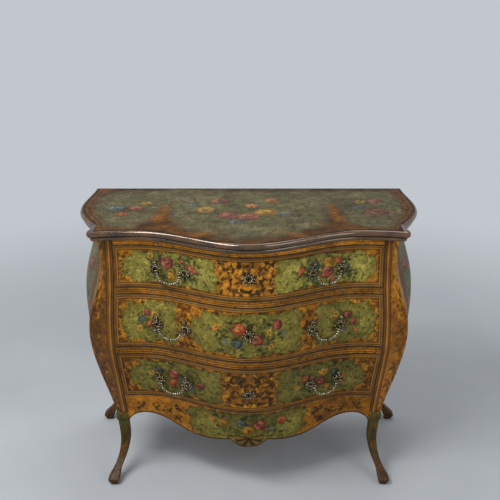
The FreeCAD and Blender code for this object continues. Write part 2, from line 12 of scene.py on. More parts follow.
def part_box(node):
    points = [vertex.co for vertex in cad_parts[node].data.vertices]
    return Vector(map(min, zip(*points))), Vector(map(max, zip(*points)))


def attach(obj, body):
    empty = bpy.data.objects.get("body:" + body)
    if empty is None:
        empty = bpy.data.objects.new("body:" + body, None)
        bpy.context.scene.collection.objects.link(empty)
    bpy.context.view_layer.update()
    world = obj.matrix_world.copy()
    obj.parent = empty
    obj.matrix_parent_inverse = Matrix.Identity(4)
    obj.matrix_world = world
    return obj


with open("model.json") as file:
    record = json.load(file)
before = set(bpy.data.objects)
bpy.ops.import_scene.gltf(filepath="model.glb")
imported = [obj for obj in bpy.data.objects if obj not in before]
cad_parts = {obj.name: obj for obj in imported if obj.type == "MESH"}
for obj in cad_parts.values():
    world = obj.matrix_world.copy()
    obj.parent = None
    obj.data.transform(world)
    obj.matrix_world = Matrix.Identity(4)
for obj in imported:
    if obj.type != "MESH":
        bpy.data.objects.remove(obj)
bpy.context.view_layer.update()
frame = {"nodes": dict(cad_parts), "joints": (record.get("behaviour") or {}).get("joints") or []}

bl_info = {
    "name": "Painted bombe chest",
    "version": (1, 0, 0),
    "blender": (4, 5, 0),
    "location": "3D View > Sidebar > Chest",
    "description": "Paint, metalwork, carving and stage for a serpentine chest of three drawers",
    "category": "Object",
}

DRAWERS = ("lower_drawer", "middle_drawer", "upper_drawer")
RAILS = ("frieze_rail", "upper_rail", "lower_rail")
SIDES = ((-1, "left"), (1, "right"))
MM = 0.001
# Full turn and quarter turn of a brush, in radians
ROUND, UP = 6.283, 1.57
# Softness of the edge of a stroke, and how far beyond its edge points are looked for, in millimetres
BRUSH_EDGE, BRUSH_MARGIN = 1.6, 3


def colour(code):
    """Linear colour of an sRGB hex value."""
    parts = [int(code[i:i + 2], 16) / 255 for i in (1, 3, 5)]
    return tuple(p / 12.92 if p <= 0.04045 else ((p + 0.055) / 1.055) ** 2.4 for p in parts)


def tint(name, words, code):
    """Property for a colour, from its sRGB hex value."""
    return FloatVectorProperty(name=name, description=words, subtype="COLOR", size=3, min=0, max=1,
                               default=colour(code))


def length(name, words, millimetres):
    """Property for a length."""
    return FloatProperty(name=name, description=words, default=millimetres * MM, min=0, unit="LENGTH")


def number(name, words, count, least):
    """Property for how many there are of something."""
    return IntProperty(name=name, description=words, default=count, min=least)


class ChestSizes(PropertyGroup):
    """Sizes of the paint skins, the metalwork and the carving."""
    paint_lift: length("Paint lift", "Height of a paint skin above the wood", 0.35)
    paint_step: length("Paint step", "Spacing of the points that carry the paint", 1.8)
    top_step: length("Top step", "Spacing of the paint points on the top", 2.7)
    side_step: length("Side step", "Spacing of the paint points on the sides", 3.2)
    petal_ring: length("Petal ring", "Radius of the ring of petals on a rosette", 12.0)
    petal_length: length("Petal length", "Half length of a rosette petal", 6.2)
    bead_ring: length("Bead ring", "Radius of the ring of beads on a rosette", 9.2)
    bead_radius: length("Bead radius", "Radius of a bead on a rosette", 2.1)
    rosette_petals: number("Rosette petals", "Petals round each handle post", 9, 3)
    bail_beads: number("Bail beads", "Beads along each bail", 31, 3)
    bail_bead_radius: length("Bail bead radius", "Radius of the larger beads along a bail", 4.6)
    collar_reeds: number("Collar reeds", "Reeds carved round the top of each leg", 22, 4)
    strip_width: length("Strip width", "Flat strip of the stiles beside the drawers", 19.0)
    shell_relief: length("Shell relief", "Height of the carved shell on the apron", 7.0)


class ChestColours(PropertyGroup):
    """Main colours of the paint, the metal and the bare wood."""
    olive: tint("Olive", "Ground of the flower panels", "#887f34")
    amber: tint("Amber", "Ground between the panels", "#b8741a")
    umber: tint("Umber", "Dark scrolls and outlines", "#2e1c08")
    gold: tint("Gold", "Light edge of the scrolls", "#c48a2c")
    rail: tint("Rail", "Brown of the rails and edges", "#764a17")
    top_ground: tint("Top ground", "Grey green of the top", "#625c41")
    side_ground: tint("Side ground", "Grey green of the sides", "#6a6549")
    # Bead: pale paint for the painted highlight along the drawers' beads
    bead: tint("Bead", "Worn gilding of the drawers' beads", "#927c4c")
    lacquer: tint("Lacquer", "Rolled edge of the top", "#5c3819")
    brass: tint("Brass", "Aged brass of the handles", "#8c7a52")
    lining: tint("Lining", "Bare wood inside the drawers", "#8d6a42")


def sizes():
    """Sizes that the panel shows."""
    return bpy.context.scene.chest_sizes


def shade(name):
    """Colour that the panel shows."""
    return np.array(getattr(bpy.context.scene.chest_colours, name)[:])


def pigment_set(*codes):
    """Dark, middle and light pigment of one flower."""
    return [np.array(colour(code)) for code in codes]


ROSE = pigment_set("#5f2a26", "#944a3e", "#b98069")
CORAL = pigment_set("#8a3a22", "#b3613a", "#cf9163")
YELLOW = pigment_set("#7c5416", "#a97d2a", "#c2a354")
BLUE = pigment_set("#2b363d", "#485a62", "#7b8884")
CREAM = pigment_set("#7d724c", "#a39a72", "#c2b994")
LEAF = pigment_set("#2c2e14", "#434720", "#646430")


def soft(distance, blur):
    """Cover from a signed distance, 1 inside and 0 outside."""
    return np.clip(0.5 - distance / blur, 0.0, 1.0)


def smooth_loop(points, closed=True):
    """Catmull-Rom curve through points, with six steps from each to the next."""
    p = np.array(points, float)
    row = np.vstack([p[-1:], p, p[:2]] if closed else [p[:1], p, p[-1:]])
    out = []
    for a, b, c, d in zip(row, row[1:], row[2:], row[3:]):
        for t in np.arange(6) / 6:
            out.append(0.5 * (2 * b + (c - a) * t + (2 * a - 5 * b + 4 * c - d) * t ** 2
                              + (3 * b - a - 3 * c + d) * t ** 3))
    return np.array(out if closed else out + [p[-1]])


class Painting:
    """Colours of the points of one panel, laid on in order as a painter would.

    Lengths are in millimetres. x and y are the true places of the points. u and v sway about them, so that
    what is drawn by u and v looks drawn by hand.
    """

    def __init__(self, u, v, ground, seed):
        self.x, self.y = u.ravel(), v.ravel()
        self.u, self.v = self.x, self.y
        self.rgb = np.tile(np.array(ground, float), (self.u.size, 1))
        self.rng = np.random.RandomState(seed)
        # Cover of a dry brush, and sway of up to 4.5 mm
        self.bristle = np.clip(0.5 + 0.8 * self.mottle(4.5), 0, 1)
        sway = [(self.mottle(13) - 0.5) * 6 + (self.mottle(5) - 0.5) * 3 for _ in "uv"]
        self.u, self.v = self.x + sway[0], self.y + sway[1]

    def mottle(self, cell, stretch=1.0):
        """Soft random patches of a given size, from 0 to 1."""
        gu, gv = self.u / (cell * stretch), self.v / cell
        gu, gv = gu - gu.min(), gv - gv.min()
        lattice = self.rng.rand(int(gv.max()) + 3, int(gu.max()) + 3)
        iu, iv = gu.astype(int), gv.astype(int)
        fu, fv = gu - iu, gv - iv
        fu, fv = fu * fu * (3 - 2 * fu), fv * fv * (3 - 2 * fv)
        low = lattice[iv, iu] * (1 - fu) + lattice[iv, iu + 1] * fu
        high = lattice[iv + 1, iu] * (1 - fu) + lattice[iv + 1, iu + 1] * fu
        return low * (1 - fv) + high * fv

    def wash(self, pigment, strength, cell, stretch=1.0):
        """Uneven thin coat all over."""
        patches = self.mottle(cell, stretch) * 0.65 + self.mottle(cell / 2.7, stretch) * 0.35
        self.coat(strength * np.clip((patches - 0.35) * 2.4, 0, 1), pigment)

    def foliage(self, loop, count, pigments, size):
        """Sprays of a few small leaves scattered all over the inside of an outline."""
        where, d = self.loop_distance(loop, 1)
        inside = where[d < -size * 0.5]
        for spot in inside[self.rng.randint(inside.size, size=count)]:
            pigment = pigments[self.rng.randint(len(pigments))]
            turn = self.rng.uniform(0, ROUND)
            for _ in range(self.rng.randint(2, 5)):
                turn += self.rng.uniform(0.7, 1.5)
                self.leaf(self.u[spot], self.v[spot], turn, size * self.rng.uniform(0.6, 1.4),
                          size * self.rng.uniform(0.35, 0.6), pigment, self.rng.uniform(0.45, 0.95))

    def age(self, grain, grime):
        """Wear of the whole panel: fine lighter and darker grain, dark flecks, grime in patches."""
        speckle = (self.mottle(3.4) - 0.5) + (self.mottle(8) - 0.5) * 0.7
        self.rgb *= (1 + grain * speckle)[:, None]
        self.coat(0.6 * soft(0.80 - self.mottle(5), 0.12), shade("umber") * 0.7)
        self.wash(shade("umber"), grime, 60)

    def any_way(self):
        """Random direction, in radians."""
        return self.rng.uniform(0, 6.28)

    def near(self, points, reach):
        """Which points lie in the box round some places, widened by a reach."""
        p = np.atleast_2d(points)
        lo, hi = p.min(0) - reach, p.max(0) + reach
        return np.flatnonzero((self.u > lo[0]) & (self.u < hi[0]) & (self.v > lo[1]) & (self.v < hi[1]))

    def lay(self, where, cover, pigment):
        """Pigment over some of the points."""
        self.rgb[where] += (pigment - self.rgb[where]) * cover[:, None]

    def dab(self, where, distance, pigment, strength, blur=BRUSH_EDGE):
        """Pigment off a dry brush over those of some points that are inside a signed distance."""
        self.lay(where, strength * self.bristle[where] * soft(distance, blur), pigment)

    def turned(self, where, x, y, turn):
        """How far some of the points lie along and across a direction from x, y."""
        c, s = math.cos(turn), math.sin(turn)
        du, dv = self.u[where] - x, self.v[where] - y
        return du * c + dv * s, dv * c - du * s

    def coat(self, cover, pigment):
        """Pigment over the whole panel."""
        self.rgb += (pigment - self.rgb) * cover[:, None]

    def line(self, distance, spot, half, blur, pigment, strength=1.0):
        """Line of a given half width along the places where a distance has one value."""
        self.coat(strength * soft(np.abs(distance - spot) - half, blur), pigment)

    def line_distance(self, where, points):
        """Distance of some of the points to a broken line, and the share of the way along it."""
        u, v = self.u[where], self.v[where]
        best = np.full(u.shape, np.inf)
        along = np.zeros(u.shape)
        count = len(points) - 1
        for k in range(count):
            (x0, y0), (x1, y1) = points[k], points[k + 1]
            dx, dy = x1 - x0, y1 - y0
            t = np.clip(((u - x0) * dx + (v - y0) * dy) / max(dx * dx + dy * dy, 1e-9), 0, 1)
            d = np.hypot(u - x0 - t * dx, v - y0 - t * dy)
            closer = d < best
            best[closer] = d[closer]
            along[closer] = (k + t[closer]) / count
        return best, along

    def stroke(self, points, start, end, pigment, strength=1.0):
        """Brush stroke whose width goes from start to end and swells in the middle."""
        points = np.array(points, float)
        where = self.near(points, max(start, end) + BRUSH_MARGIN)
        d, along = self.line_distance(where, points)
        swell = np.sin(np.pi * np.clip(along, 0, 1)) * 0.35 + 0.8
        half = (start + (end - start) * along) * swell / 2
        self.dab(where, d - half, pigment, strength)

    def loop_distance(self, loop, reach):
        """Points within reach of a closed outline and their distance to it, less than 0 inside."""
        where = self.near(loop, reach)
        ring = np.vstack([loop, loop[:1]])
        d, _ = self.line_distance(where, ring)
        u, v = self.u[where], self.v[where]
        inside = np.zeros(u.shape, bool)
        for (x0, y0), (x1, y1) in zip(ring[:-1], ring[1:]):
            if y0 != y1:
                crosses = (y0 > v) != (y1 > v)
                inside ^= crosses & (u < (x1 - x0) * (v - y0) / (y1 - y0) + x0)
        return where, np.where(inside, -d, d)

    def blob(self, x, y, rx, ry, turn, pigment, strength=1.0, blur=BRUSH_EDGE):
        """Oval dab."""
        where = self.near((x, y), max(rx, ry) + BRUSH_MARGIN)
        along, across = self.turned(where, x, y, turn)
        out = np.hypot(along / rx, across / ry) - 1
        self.dab(where, out * min(rx, ry), pigment, strength, blur)

    def leaf(self, x, y, turn, long, wide, pigment, strength=0.9):
        """Pointed leaf that grows from x, y."""
        where = self.near((x, y), long + BRUSH_MARGIN)
        along, across = self.turned(where, x, y, turn)
        share = along / long
        half = wide / 2 * np.sin(np.pi * np.clip(share, 0, 1)) ** 0.8
        d = np.maximum(np.abs(across) - half, np.maximum(-share, share - 1) * long)
        self.dab(where, d, pigment, strength)

    def sprig(self, x, y, turn, long):
        """Thin bent stem with five leaves, on one side and the other in turn."""
        bend = self.rng.uniform(-0.7, 0.7)
        stem = [(x, y)]
        a = turn
        for _ in range(6):
            a += bend / 6
            stem.append((stem[-1][0] + math.cos(a) * long / 6, stem[-1][1] + math.sin(a) * long / 6))
        self.stroke(stem, 1.4, 0.8, LEAF[0], 0.8)
        for k, (px, py) in enumerate(stem[1:6]):
            side = 1 if k % 2 else -1
            self.leaf(px, py, a + side * self.rng.uniform(0.5, 1.1), long * self.rng.uniform(0.28, 0.42),
                      long * self.rng.uniform(0.12, 0.18), LEAF[self.rng.randint(3)])

    def rose(self, x, y, r, pigments):
        """Full-blown rose: dark lobes, petals in lighter and lighter dabs towards the light, dark heart."""
        dark, middle, light = pigments
        turn = self.any_way()
        for k in range(7):
            a = turn + k * 0.9
            self.blob(x + math.cos(a) * r * 0.52, y + math.sin(a) * r * 0.46, r * self.rng.uniform(0.4, 0.56),
                      r * 0.36, a + UP, dark)
        for _ in range(8):
            a, out = self.any_way(), r * self.rng.uniform(0.2, 0.62)
            self.blob(x + math.cos(a) * out - r * 0.06, y + math.sin(a) * out * 0.85 + r * 0.06,
                      r * self.rng.uniform(0.24, 0.4), r * self.rng.uniform(0.14, 0.24), a + UP, middle, 0.85)
        for _ in range(5):
            a, out = self.rng.uniform(0.9, 4.2), r * self.rng.uniform(0.2, 0.66)
            arc = [(x + math.cos(a + t) * out, y + math.sin(a + t) * out) for t in np.linspace(-0.5, 0.5, 5)]
            self.stroke(arc, r * 0.08, r * 0.18, light, 0.75)
        self.blob(x + r * 0.08, y - r * 0.08, r * 0.16, r * 0.12, turn, dark, 0.9)

    def blossom(self, x, y, r, pigments, heart):
        """Small open flower with five petals."""
        turn = self.any_way()
        for k in range(5):
            a = turn + k * 1.257
            px, py = x + math.cos(a) * r * 0.55, y + math.sin(a) * r * 0.55
            self.blob(px, py, r * 0.5, r * 0.36, a, pigments[1])
            self.blob(px + math.cos(a) * r * 0.12, py + math.sin(a) * r * 0.12, r * 0.28, r * 0.18, a,
                      pigments[2], 0.75)
        self.blob(x, y, r * 0.24, r * 0.24, 0, heart)

    def bouquet(self, x, y, spread, flowers, sprigs):
        """Bunch of flowers: shadow, sprigs outwards, loose leaves, then the flowers in their order."""
        self.blob(x, y, spread * 0.62, spread * 0.34, 0, LEAF[0], 0.4, spread * 0.3)
        for k in range(sprigs):
            a = ROUND * k / sprigs + self.rng.uniform(-0.25, 0.25)
            out = spread * self.rng.uniform(0.2, 0.42)
            flat = math.sin(a) * 0.62
            self.sprig(x + math.cos(a) * out, y + flat * out, math.atan2(flat, math.cos(a)),
                       spread * self.rng.uniform(0.35, 0.6))
        for _ in range(sprigs):
            a = self.any_way()
            out = spread * self.rng.uniform(0.1, 0.5)
            self.leaf(x + math.cos(a) * out, y + math.sin(a) * out * 0.55, self.any_way(),
                      spread * 0.24, spread * 0.1, LEAF[self.rng.randint(3)])
        for dx, dy, r, kind, pigments in flowers:
            if kind == "rose":
                self.rose(x + dx, y + dy, r, pigments)
            else:
                self.blossom(x + dx, y + dy, r, pigments, YELLOW[1] if pigments is not YELLOW else ROSE[0])

    def scroll(self, x, y, size, turn, hand, pigment, edge, weight=0.2):
        """Leafy C-scroll that winds up at its far end, with an edge of another pigment."""
        wide = size * weight
        t = np.linspace(0, 1, 22)
        a = turn + hand * (0.3 + 5.6 * t ** 1.3)
        step = size * 0.075 * (1.1 - t)
        points = np.stack([x + np.cumsum(np.cos(a) * step), y + np.cumsum(np.sin(a) * step)], 1)
        points += np.array([x, y]) - points.mean(0)
        for k in (1, 6, 11):
            self.leaf(*points[k], a[k] - hand * 1.0, size * 0.55, size * 1.2 * weight, pigment)
        self.stroke(points, wide * 1.1, wide * 0.6, pigment)
        self.stroke(points + np.array([-0.2, 0.3]) * wide, wide * 0.35, wide * 0.2, edge, 0.7)
        self.blob(*points[-1], wide * 0.7, wide * 0.7, 0, pigment)

    def arabesque(self, x0, x1, y0, y1, cell):
        """Mirror-symmetric growth of bold dark scrolls with bright leaves between them."""
        umber, gold = shade("umber"), shade("gold")
        middle = (x0 + x1) / 2
        rows = max(2, int(round((y1 - y0) / cell)))
        cols = max(1, int(round((x1 - x0) / 2 / cell)))
        for i in range(rows):
            for k in range(cols):
                y = y0 + (i + 0.5) * (y1 - y0) / rows + self.rng.uniform(-0.12, 0.12) * cell
                dx = (k + 0.5) * (x1 - x0) / 2 / cols
                turn = self.any_way()
                hand = 1 if (i + k) % 2 else -1
                size = cell * self.rng.uniform(0.95, 1.25)
                for side in (1, -1):
                    way = turn if side > 0 else math.pi - turn
                    self.scroll(middle + side * dx, y, size, way, side * hand, umber, gold * 0.7, 0.21)
                    self.leaf(middle + side * dx, y, way + side * 2.0, cell * 0.62, cell * 0.3, gold * 1.1)
                    self.leaf(middle + side * dx, y, way + side * 4.4, cell * 0.5, cell * 0.22, umber)

    def cartouche(self, loop, ground, light):
        """Shaped panel: umber shadow and scrolls round it, ground in painted shade at its outline that
        lightens inwards, small leaves.
        """
        where, d = self.loop_distance(loop, 24)
        umber, gold = shade("umber"), shade("gold")
        rough = (self.mottle(15)[where] - 0.5) * 11
        patches = self.mottle(26)[where] * 0.6 + self.mottle(8)[where] * 0.4
        self.lay(where, 0.75 * soft(d + rough - 7.0, 9.0), umber)
        for k in range(0, len(loop), max(1, len(loop) // 26)):
            self.scroll(*loop[k], self.rng.uniform(16, 27), self.any_way(), 1 if k % 2 else -1,
                        gold * self.rng.uniform(0.6, 1.0), umber, 0.26)
        # Painted shade: the ground darker near the outline, lighter inwards, in patches
        d = d + rough * 0.35
        inward_light = np.clip(-d / 30.0, 0, 1) * 0.7 + (patches - 0.5) * 0.9
        mix = ground * 0.7 + (light - ground * 0.7) * np.clip(inward_light + 0.35, 0, 1.3)[:, None]
        self.lay(where, soft(d + 1.0, 4.0), mix)
        self.dab(where, np.abs(d) - 1.2, umber, 0.7, 2.4)
        area = np.ptp(loop[:, 0]) * np.ptp(loop[:, 1])
        greens = [ground * 0.55, LEAF[1], ground * 0.75, light * 1.2, light * 1.35, light * 1.5]
        self.foliage(loop, int(area / 200), greens, 9)


# The fronts of the drawers, rails and apron lie ahead of this y and end between these two x, in metres
FRONT_LIMIT = -0.108
FRONT_ENDS = (0.3, 0.46)


def caster(*nodes):
    """Ray-cast tree of one or more CAD nodes."""
    verts, faces = [], []
    for node in nodes:
        mesh = frame["nodes"][node].data
        start = len(verts)
        verts += [v.co for v in mesh.vertices]
        faces += [[start + k for k in p.vertices] for p in mesh.polygons]
    return BVHTree.FromPolygons(verts, faces)


def last_hit(test, inside, outside):
    """Furthest value towards outside at which test still holds."""
    for _ in range(18):
        middle = (inside + outside) / 2
        if test(middle):
            inside = middle
        else:
            outside = middle
    return inside


def sheet(name, body, points, inward, rgb, kind="paint", keep=None):
    """Paint skin over a grid of points, turned in at its rim, with its colours as an attribute."""
    rows, cols = points.shape[:2]
    index = np.arange(rows * cols).reshape(rows, cols)
    quads = np.stack([index[:-1, :-1], index[:-1, 1:], index[1:, 1:], index[1:, :-1]], -1).reshape(-1, 4)
    if keep is not None:
        quads = quads[keep[quads].all(1)]
    rim = np.concatenate([index[0, :-1], index[:-1, -1], index[-1, :0:-1], index[:0:-1, 0]])
    points, rgb = points.reshape(-1, 3), rgb.reshape(-1, 3)
    verts = np.vstack([points, points[rim] + np.array(inward)])
    low = rows * cols + np.arange(rim.size)
    skirt = np.stack([np.roll(rim, -1), rim, low, np.roll(low, -1)], 1)
    faces = np.vstack([quads, skirt])
    mesh = bpy.data.meshes.new(name)
    mesh.from_pydata(verts.tolist(), [], faces.tolist())
    mesh.polygons.foreach_set("use_smooth", np.arange(len(faces)) < len(quads))
    layer = mesh.attributes.new("paint", "FLOAT_COLOR", "POINT")
    full = np.vstack([rgb, rgb[rim]])
    layer.data.foreach_set("color", np.hstack([full, np.ones((len(full), 1))]).ravel())
    mesh.materials.append(finish(kind))
    mesh.update()
    piece = bpy.data.objects.new(name, mesh)
    bpy.context.collection.objects.link(piece)
    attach(piece, body)


def evened(front, x, z):
    """Points of a front, smoothed over the facets of its solid and lifted clear of them."""
    y = np.array([[front(*spot) for spot in zip(*row)] for row in zip(x, z)], float)
    a = x / np.abs(x).max()
    b = 2 * (z - z.min()) / np.ptp(z) - 1
    known = ~np.isnan(y)
    degrees = [18, 5]
    basis = np.polynomial.chebyshev.chebvander2d(a[known], b[known], degrees)
    weights = np.linalg.lstsq(basis, y[known], rcond=None)[0]
    even = (np.polynomial.chebyshev.chebvander2d(a.ravel(), b.ravel(), degrees) @ weights).reshape(y.shape)
    lift = max(sizes().paint_lift, float((even - y)[known].max()) + 0.0001)
    return np.stack([x, even - lift, z], -1)


def front_probe(node):
    """Function that gives the y of a piece's shaped front at x and z, or None beside it."""
    tree = caster(node)
    ahead = Vector((0, 1, 0))

    def front(x, z):
        hit = tree.ray_cast(Vector((x, -1, z)), ahead)[0]
        return hit.y if hit is not None and hit.y < FRONT_LIMIT else None

    return front


def front_end(front, z):
    """x of the right end of a front at one height."""
    return last_hit(lambda x: front(x, z) is not None, *FRONT_ENDS)


def columns(feet, top, step):
    """Rows of places along columns that run from their own feet to one top."""
    return feet + (top - feet) * np.linspace(0, 1, int((top - feet.min()) / step))[:, None]


def front_skin(node, step, margin):
    """Grid of points over the shaped front of a drawer or rail, in rows."""
    front = front_probe(node)
    lo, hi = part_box(node)
    heights = np.linspace(lo.z + margin, hi.z - margin, max(5, int((hi.z - lo.z - 2 * margin) / step)))
    ends = [front_end(front, z) - margin - 0.0003 for z in heights]
    across = np.linspace(-1, 1, int(2 * max(ends) / step))
    x = np.outer(ends, across)
    z = np.repeat(heights[:, None], len(across), 1)
    return evened(front, x, z)


def apron_skin(step, margin):
    """Grid of points over the apron, in columns that end at its scalloped edge."""
    front = front_probe("apron")
    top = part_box("apron")[1].z - margin
    reach = front_end(front, top) - margin
    xs = np.linspace(-reach, reach, int(2 * reach / step))
    feet = np.array([last_hit(lambda z: front(x, z) is not None, top - 0.005, 0.15) + margin for x in xs])
    z = columns(feet, top, step)
    x = np.repeat(xs[None, :], len(z), 0)
    return evened(front, x, z)


def feed(tree, node, inputs):
    """Values and links into the sockets of a node. A node as a value gives its first output in use."""
    for key, value in inputs.items():
        if isinstance(value, bpy.types.Node):
            value = next(output for output in value.outputs if output.enabled)
        if isinstance(value, bpy.types.NodeSocket):
            tree.links.new(value, node.inputs[key])
        else:
            node.inputs[key].default_value = value


def add_node(tree, kind, inputs=None, stops=(), **settings):
    """One node with its settings, its socket values and links, and the stops of its colour ramp."""
    node = tree.nodes.new(kind)
    for key, value in settings.items():
        setattr(node, key, value)
    feed(tree, node, inputs or {})
    for k, (spot, tone) in enumerate(stops):
        stop = node.color_ramp.elements[k] if k < 2 else node.color_ramp.elements.new(spot)
        stop.position, stop.color = spot, rgba(tone)
    return node


def new_material(name):
    """Material with its node tree, its shader and the Object coordinates that its patterns read."""
    material = bpy.data.materials.new(name)
    material.use_nodes = True
    tree = material.node_tree
    place = add_node(tree, "ShaderNodeTexCoord").outputs["Object"]
    return material, tree, tree.nodes["Principled BSDF"], place


def rgba(tone):
    """Colour with full cover, from its hex value or its linear parts."""
    return (*(colour(tone) if isinstance(tone, str) else tone), 1.0)


def varnished_paint(name="varnished_paint", gloss=0.2):
    """Oil paint under old varnish on gessoed wood: crazed, unevenly yellowed, with a soft gloss."""
    material, tree, shader, place = new_material(name)
    paint = add_node(tree, "ShaderNodeAttribute", attribute_name="paint")
    # Uneven old varnish in patches about 60 mm across, then brushed pigment grain of about 3 mm
    layers = []
    for size, detail, low, dark, light in ((0.06, 4.0, 0.3, 0.80, 1.14), (0.003, 3.0, 0.25, 0.82, 1.16)):
        noise = add_node(tree, "ShaderNodeTexNoise", {"Vector": place, "Scale": 1 / size, "Detail": detail})
        layers += [noise, add_node(tree, "ShaderNodeMapRange", {
            "Value": noise, "From Min": low, "From Max": 1 - low, "To Min": dark, "To Max": light})]
    patches, patch, grain, grains = layers
    both = add_node(tree, "ShaderNodeMath", {0: patch, 1: grains}, operation="MULTIPLY")
    toned = add_node(tree, "ShaderNodeVectorMath", {0: paint, "Scale": both}, operation="SCALE")
    # Crazing: cells about 11 mm across with hairline joints
    craze = add_node(tree, "ShaderNodeTexVoronoi", {"Vector": place, "Scale": 1 / 0.011},
                     feature="DISTANCE_TO_EDGE")
    hair = add_node(tree, "ShaderNodeMapRange", {"Value": craze, "From Min": 0.0, "From Max": 0.05,
                                                 "To Min": 0.32, "To Max": 0.0})
    broken = add_node(tree, "ShaderNodeMath", {0: hair, 1: patches}, operation="MULTIPLY")
    crazed = add_node(tree, "ShaderNodeMix", {"Factor": broken, "A": toned, "B": rgba("#2c2010")},
                      data_type="RGBA")
    rough = add_node(tree, "ShaderNodeMapRange", {"Value": grain, "To Min": 0.36, "To Max": 0.58})
    bump = add_node(tree, "ShaderNodeBump", {"Height": grain, "Strength": 0.12, "Distance": 0.0006})
    feed(tree, shader, {"Base Color": crazed, "Roughness": rough, "Normal": bump,
                        "Specular IOR Level": gloss})
    return material


def worn_paint():
    """The same paint on the top, where use has rubbed the varnish dull: deep colours, hardly any sheen."""
    return varnished_paint("worn_top_paint", 0.06)


def edge_paint():
    """Worn brown paint on the edges, beads and backs of painted wood: mottled, rubbed through to the wood."""
    material, tree, shader, place = new_material("rubbed_brown_paint")
    # Patches about 30 mm across
    patches = add_node(tree, "ShaderNodeTexNoise", {"Vector": place, "Scale": 1 / 0.03, "Detail": 5.0})
    ramp = add_node(tree, "ShaderNodeValToRGB", {"Fac": patches},
                    stops=((0.32, "#4a3013"), (0.68, "#8a6128")))
    # Streaks along the wood about 2 mm wide
    run = add_node(tree, "ShaderNodeMapping", {"Vector": place, "Scale": (30, 60, 480)})
    streak = add_node(tree, "ShaderNodeTexNoise", {"Vector": run, "Scale": 1.0, "Detail": 3.0})
    level = add_node(tree, "ShaderNodeMapRange", {"Value": streak, "From Min": 0.3, "From Max": 0.7,
                                                  "To Min": 0.75, "To Max": 1.15})
    toned = add_node(tree, "ShaderNodeVectorMath", {0: ramp, "Scale": level}, operation="SCALE")
    rough = add_node(tree, "ShaderNodeMapRange", {"Value": patches, "To Min": 0.38, "To Max": 0.6})
    bump = add_node(tree, "ShaderNodeBump", {"Height": streak, "Strength": 0.15, "Distance": 0.0006})
    feed(tree, shader, {"Base Color": toned, "Roughness": rough, "Normal": bump})
    return material


def top_lacquer():
    """Dark lacquer on the rolled edge of the top: warm gloss, rubbed lighter in patches, fine scratches."""
    material, tree, shader, place = new_material("dark_lacquer")
    # Rubbed patches about 45 mm across, scratches about 4 mm apart
    rub = add_node(tree, "ShaderNodeTexNoise", {"Vector": place, "Scale": 1 / 0.045, "Detail": 6.0})
    fine = add_node(tree, "ShaderNodeTexNoise", {"Vector": place, "Scale": 1 / 0.004, "Detail": 2.0})
    ramp = add_node(tree, "ShaderNodeValToRGB", {"Fac": rub},
                    stops=((0.36, shade("lacquer") * 0.1), (0.72, shade("lacquer") * 1.15)))
    wear = add_node(tree, "ShaderNodeMapRange", {"Value": rub, "From Min": 0.35, "From Max": 0.7,
                                                 "To Min": 0.1, "To Max": 0.22})
    bump = add_node(tree, "ShaderNodeBump", {"Height": fine, "Strength": 0.08, "Distance": 0.0005})
    feed(tree, shader, {"Base Color": ramp, "Roughness": wear, "Normal": bump, "IOR": 2.0,
                        "Specular Tint": rgba("#f6e4d0")})
    return material


def leg_paint():
    """Paint of the cabriole legs: olive at the knee, dark brown towards the foot, speckled where worn."""
    material, tree, shader, place = new_material("painted_leg")
    parts = add_node(tree, "ShaderNodeSeparateXYZ", {"Vector": place})
    # Colours by height up to 320 mm, their limits swaying over about 50 mm
    waves = add_node(tree, "ShaderNodeTexNoise", {"Vector": place, "Scale": 1 / 0.05, "Detail": 5.0})
    sway = add_node(tree, "ShaderNodeMath", {0: waves, 1: 0.11, 2: parts.outputs["Z"]},
                    operation="MULTIPLY_ADD")
    height = add_node(tree, "ShaderNodeMapRange", {"Value": sway, "From Min": 0.0, "From Max": 0.32})
    ramp = add_node(tree, "ShaderNodeValToRGB", {"Fac": height},
                    stops=((0.08, "#34291b"), (0.20, "#382811"), (0.42, "#3f2e12"),
                           (0.60, "#3d3114"), (0.78, "#434019"), (0.95, "#565222")))
    # Speckles about 6 mm across
    fine = add_node(tree, "ShaderNodeTexNoise", {"Vector": place, "Scale": 1 / 0.006, "Detail": 4.0})
    level = add_node(tree, "ShaderNodeMapRange", {"Value": fine, "From Min": 0.3, "From Max": 0.7,
                                                  "To Min": 0.35, "To Max": 1.6})
    toned = add_node(tree, "ShaderNodeVectorMath", {0: ramp, "Scale": level}, operation="SCALE")
    # Streaks of lighter brown about 6 mm wide, rubbed along the leg
    run = add_node(tree, "ShaderNodeMapping", {"Vector": place, "Scale": (160, 160, 16)})
    streak = add_node(tree, "ShaderNodeTexNoise", {"Vector": run, "Scale": 1.0, "Detail": 3.0})
    rubbed = add_node(tree, "ShaderNodeMapRange", {"Value": streak, "From Min": 0.48, "From Max": 0.64,
                                                   "To Min": 0.0, "To Max": 0.8})
    worn = add_node(tree, "ShaderNodeMix", {"Factor": rubbed, "A": toned, "B": rgba(shade("rail") * 0.85)},
                    data_type="RGBA")
    rough = add_node(tree, "ShaderNodeMapRange", {"Value": waves, "To Min": 0.35, "To Max": 0.6})
    bump = add_node(tree, "ShaderNodeBump", {"Height": fine, "Strength": 0.2, "Distance": 0.0008})
    feed(tree, shader, {"Base Color": worn, "Roughness": rough, "Normal": bump, "Specular IOR Level": 0.2})
    return material


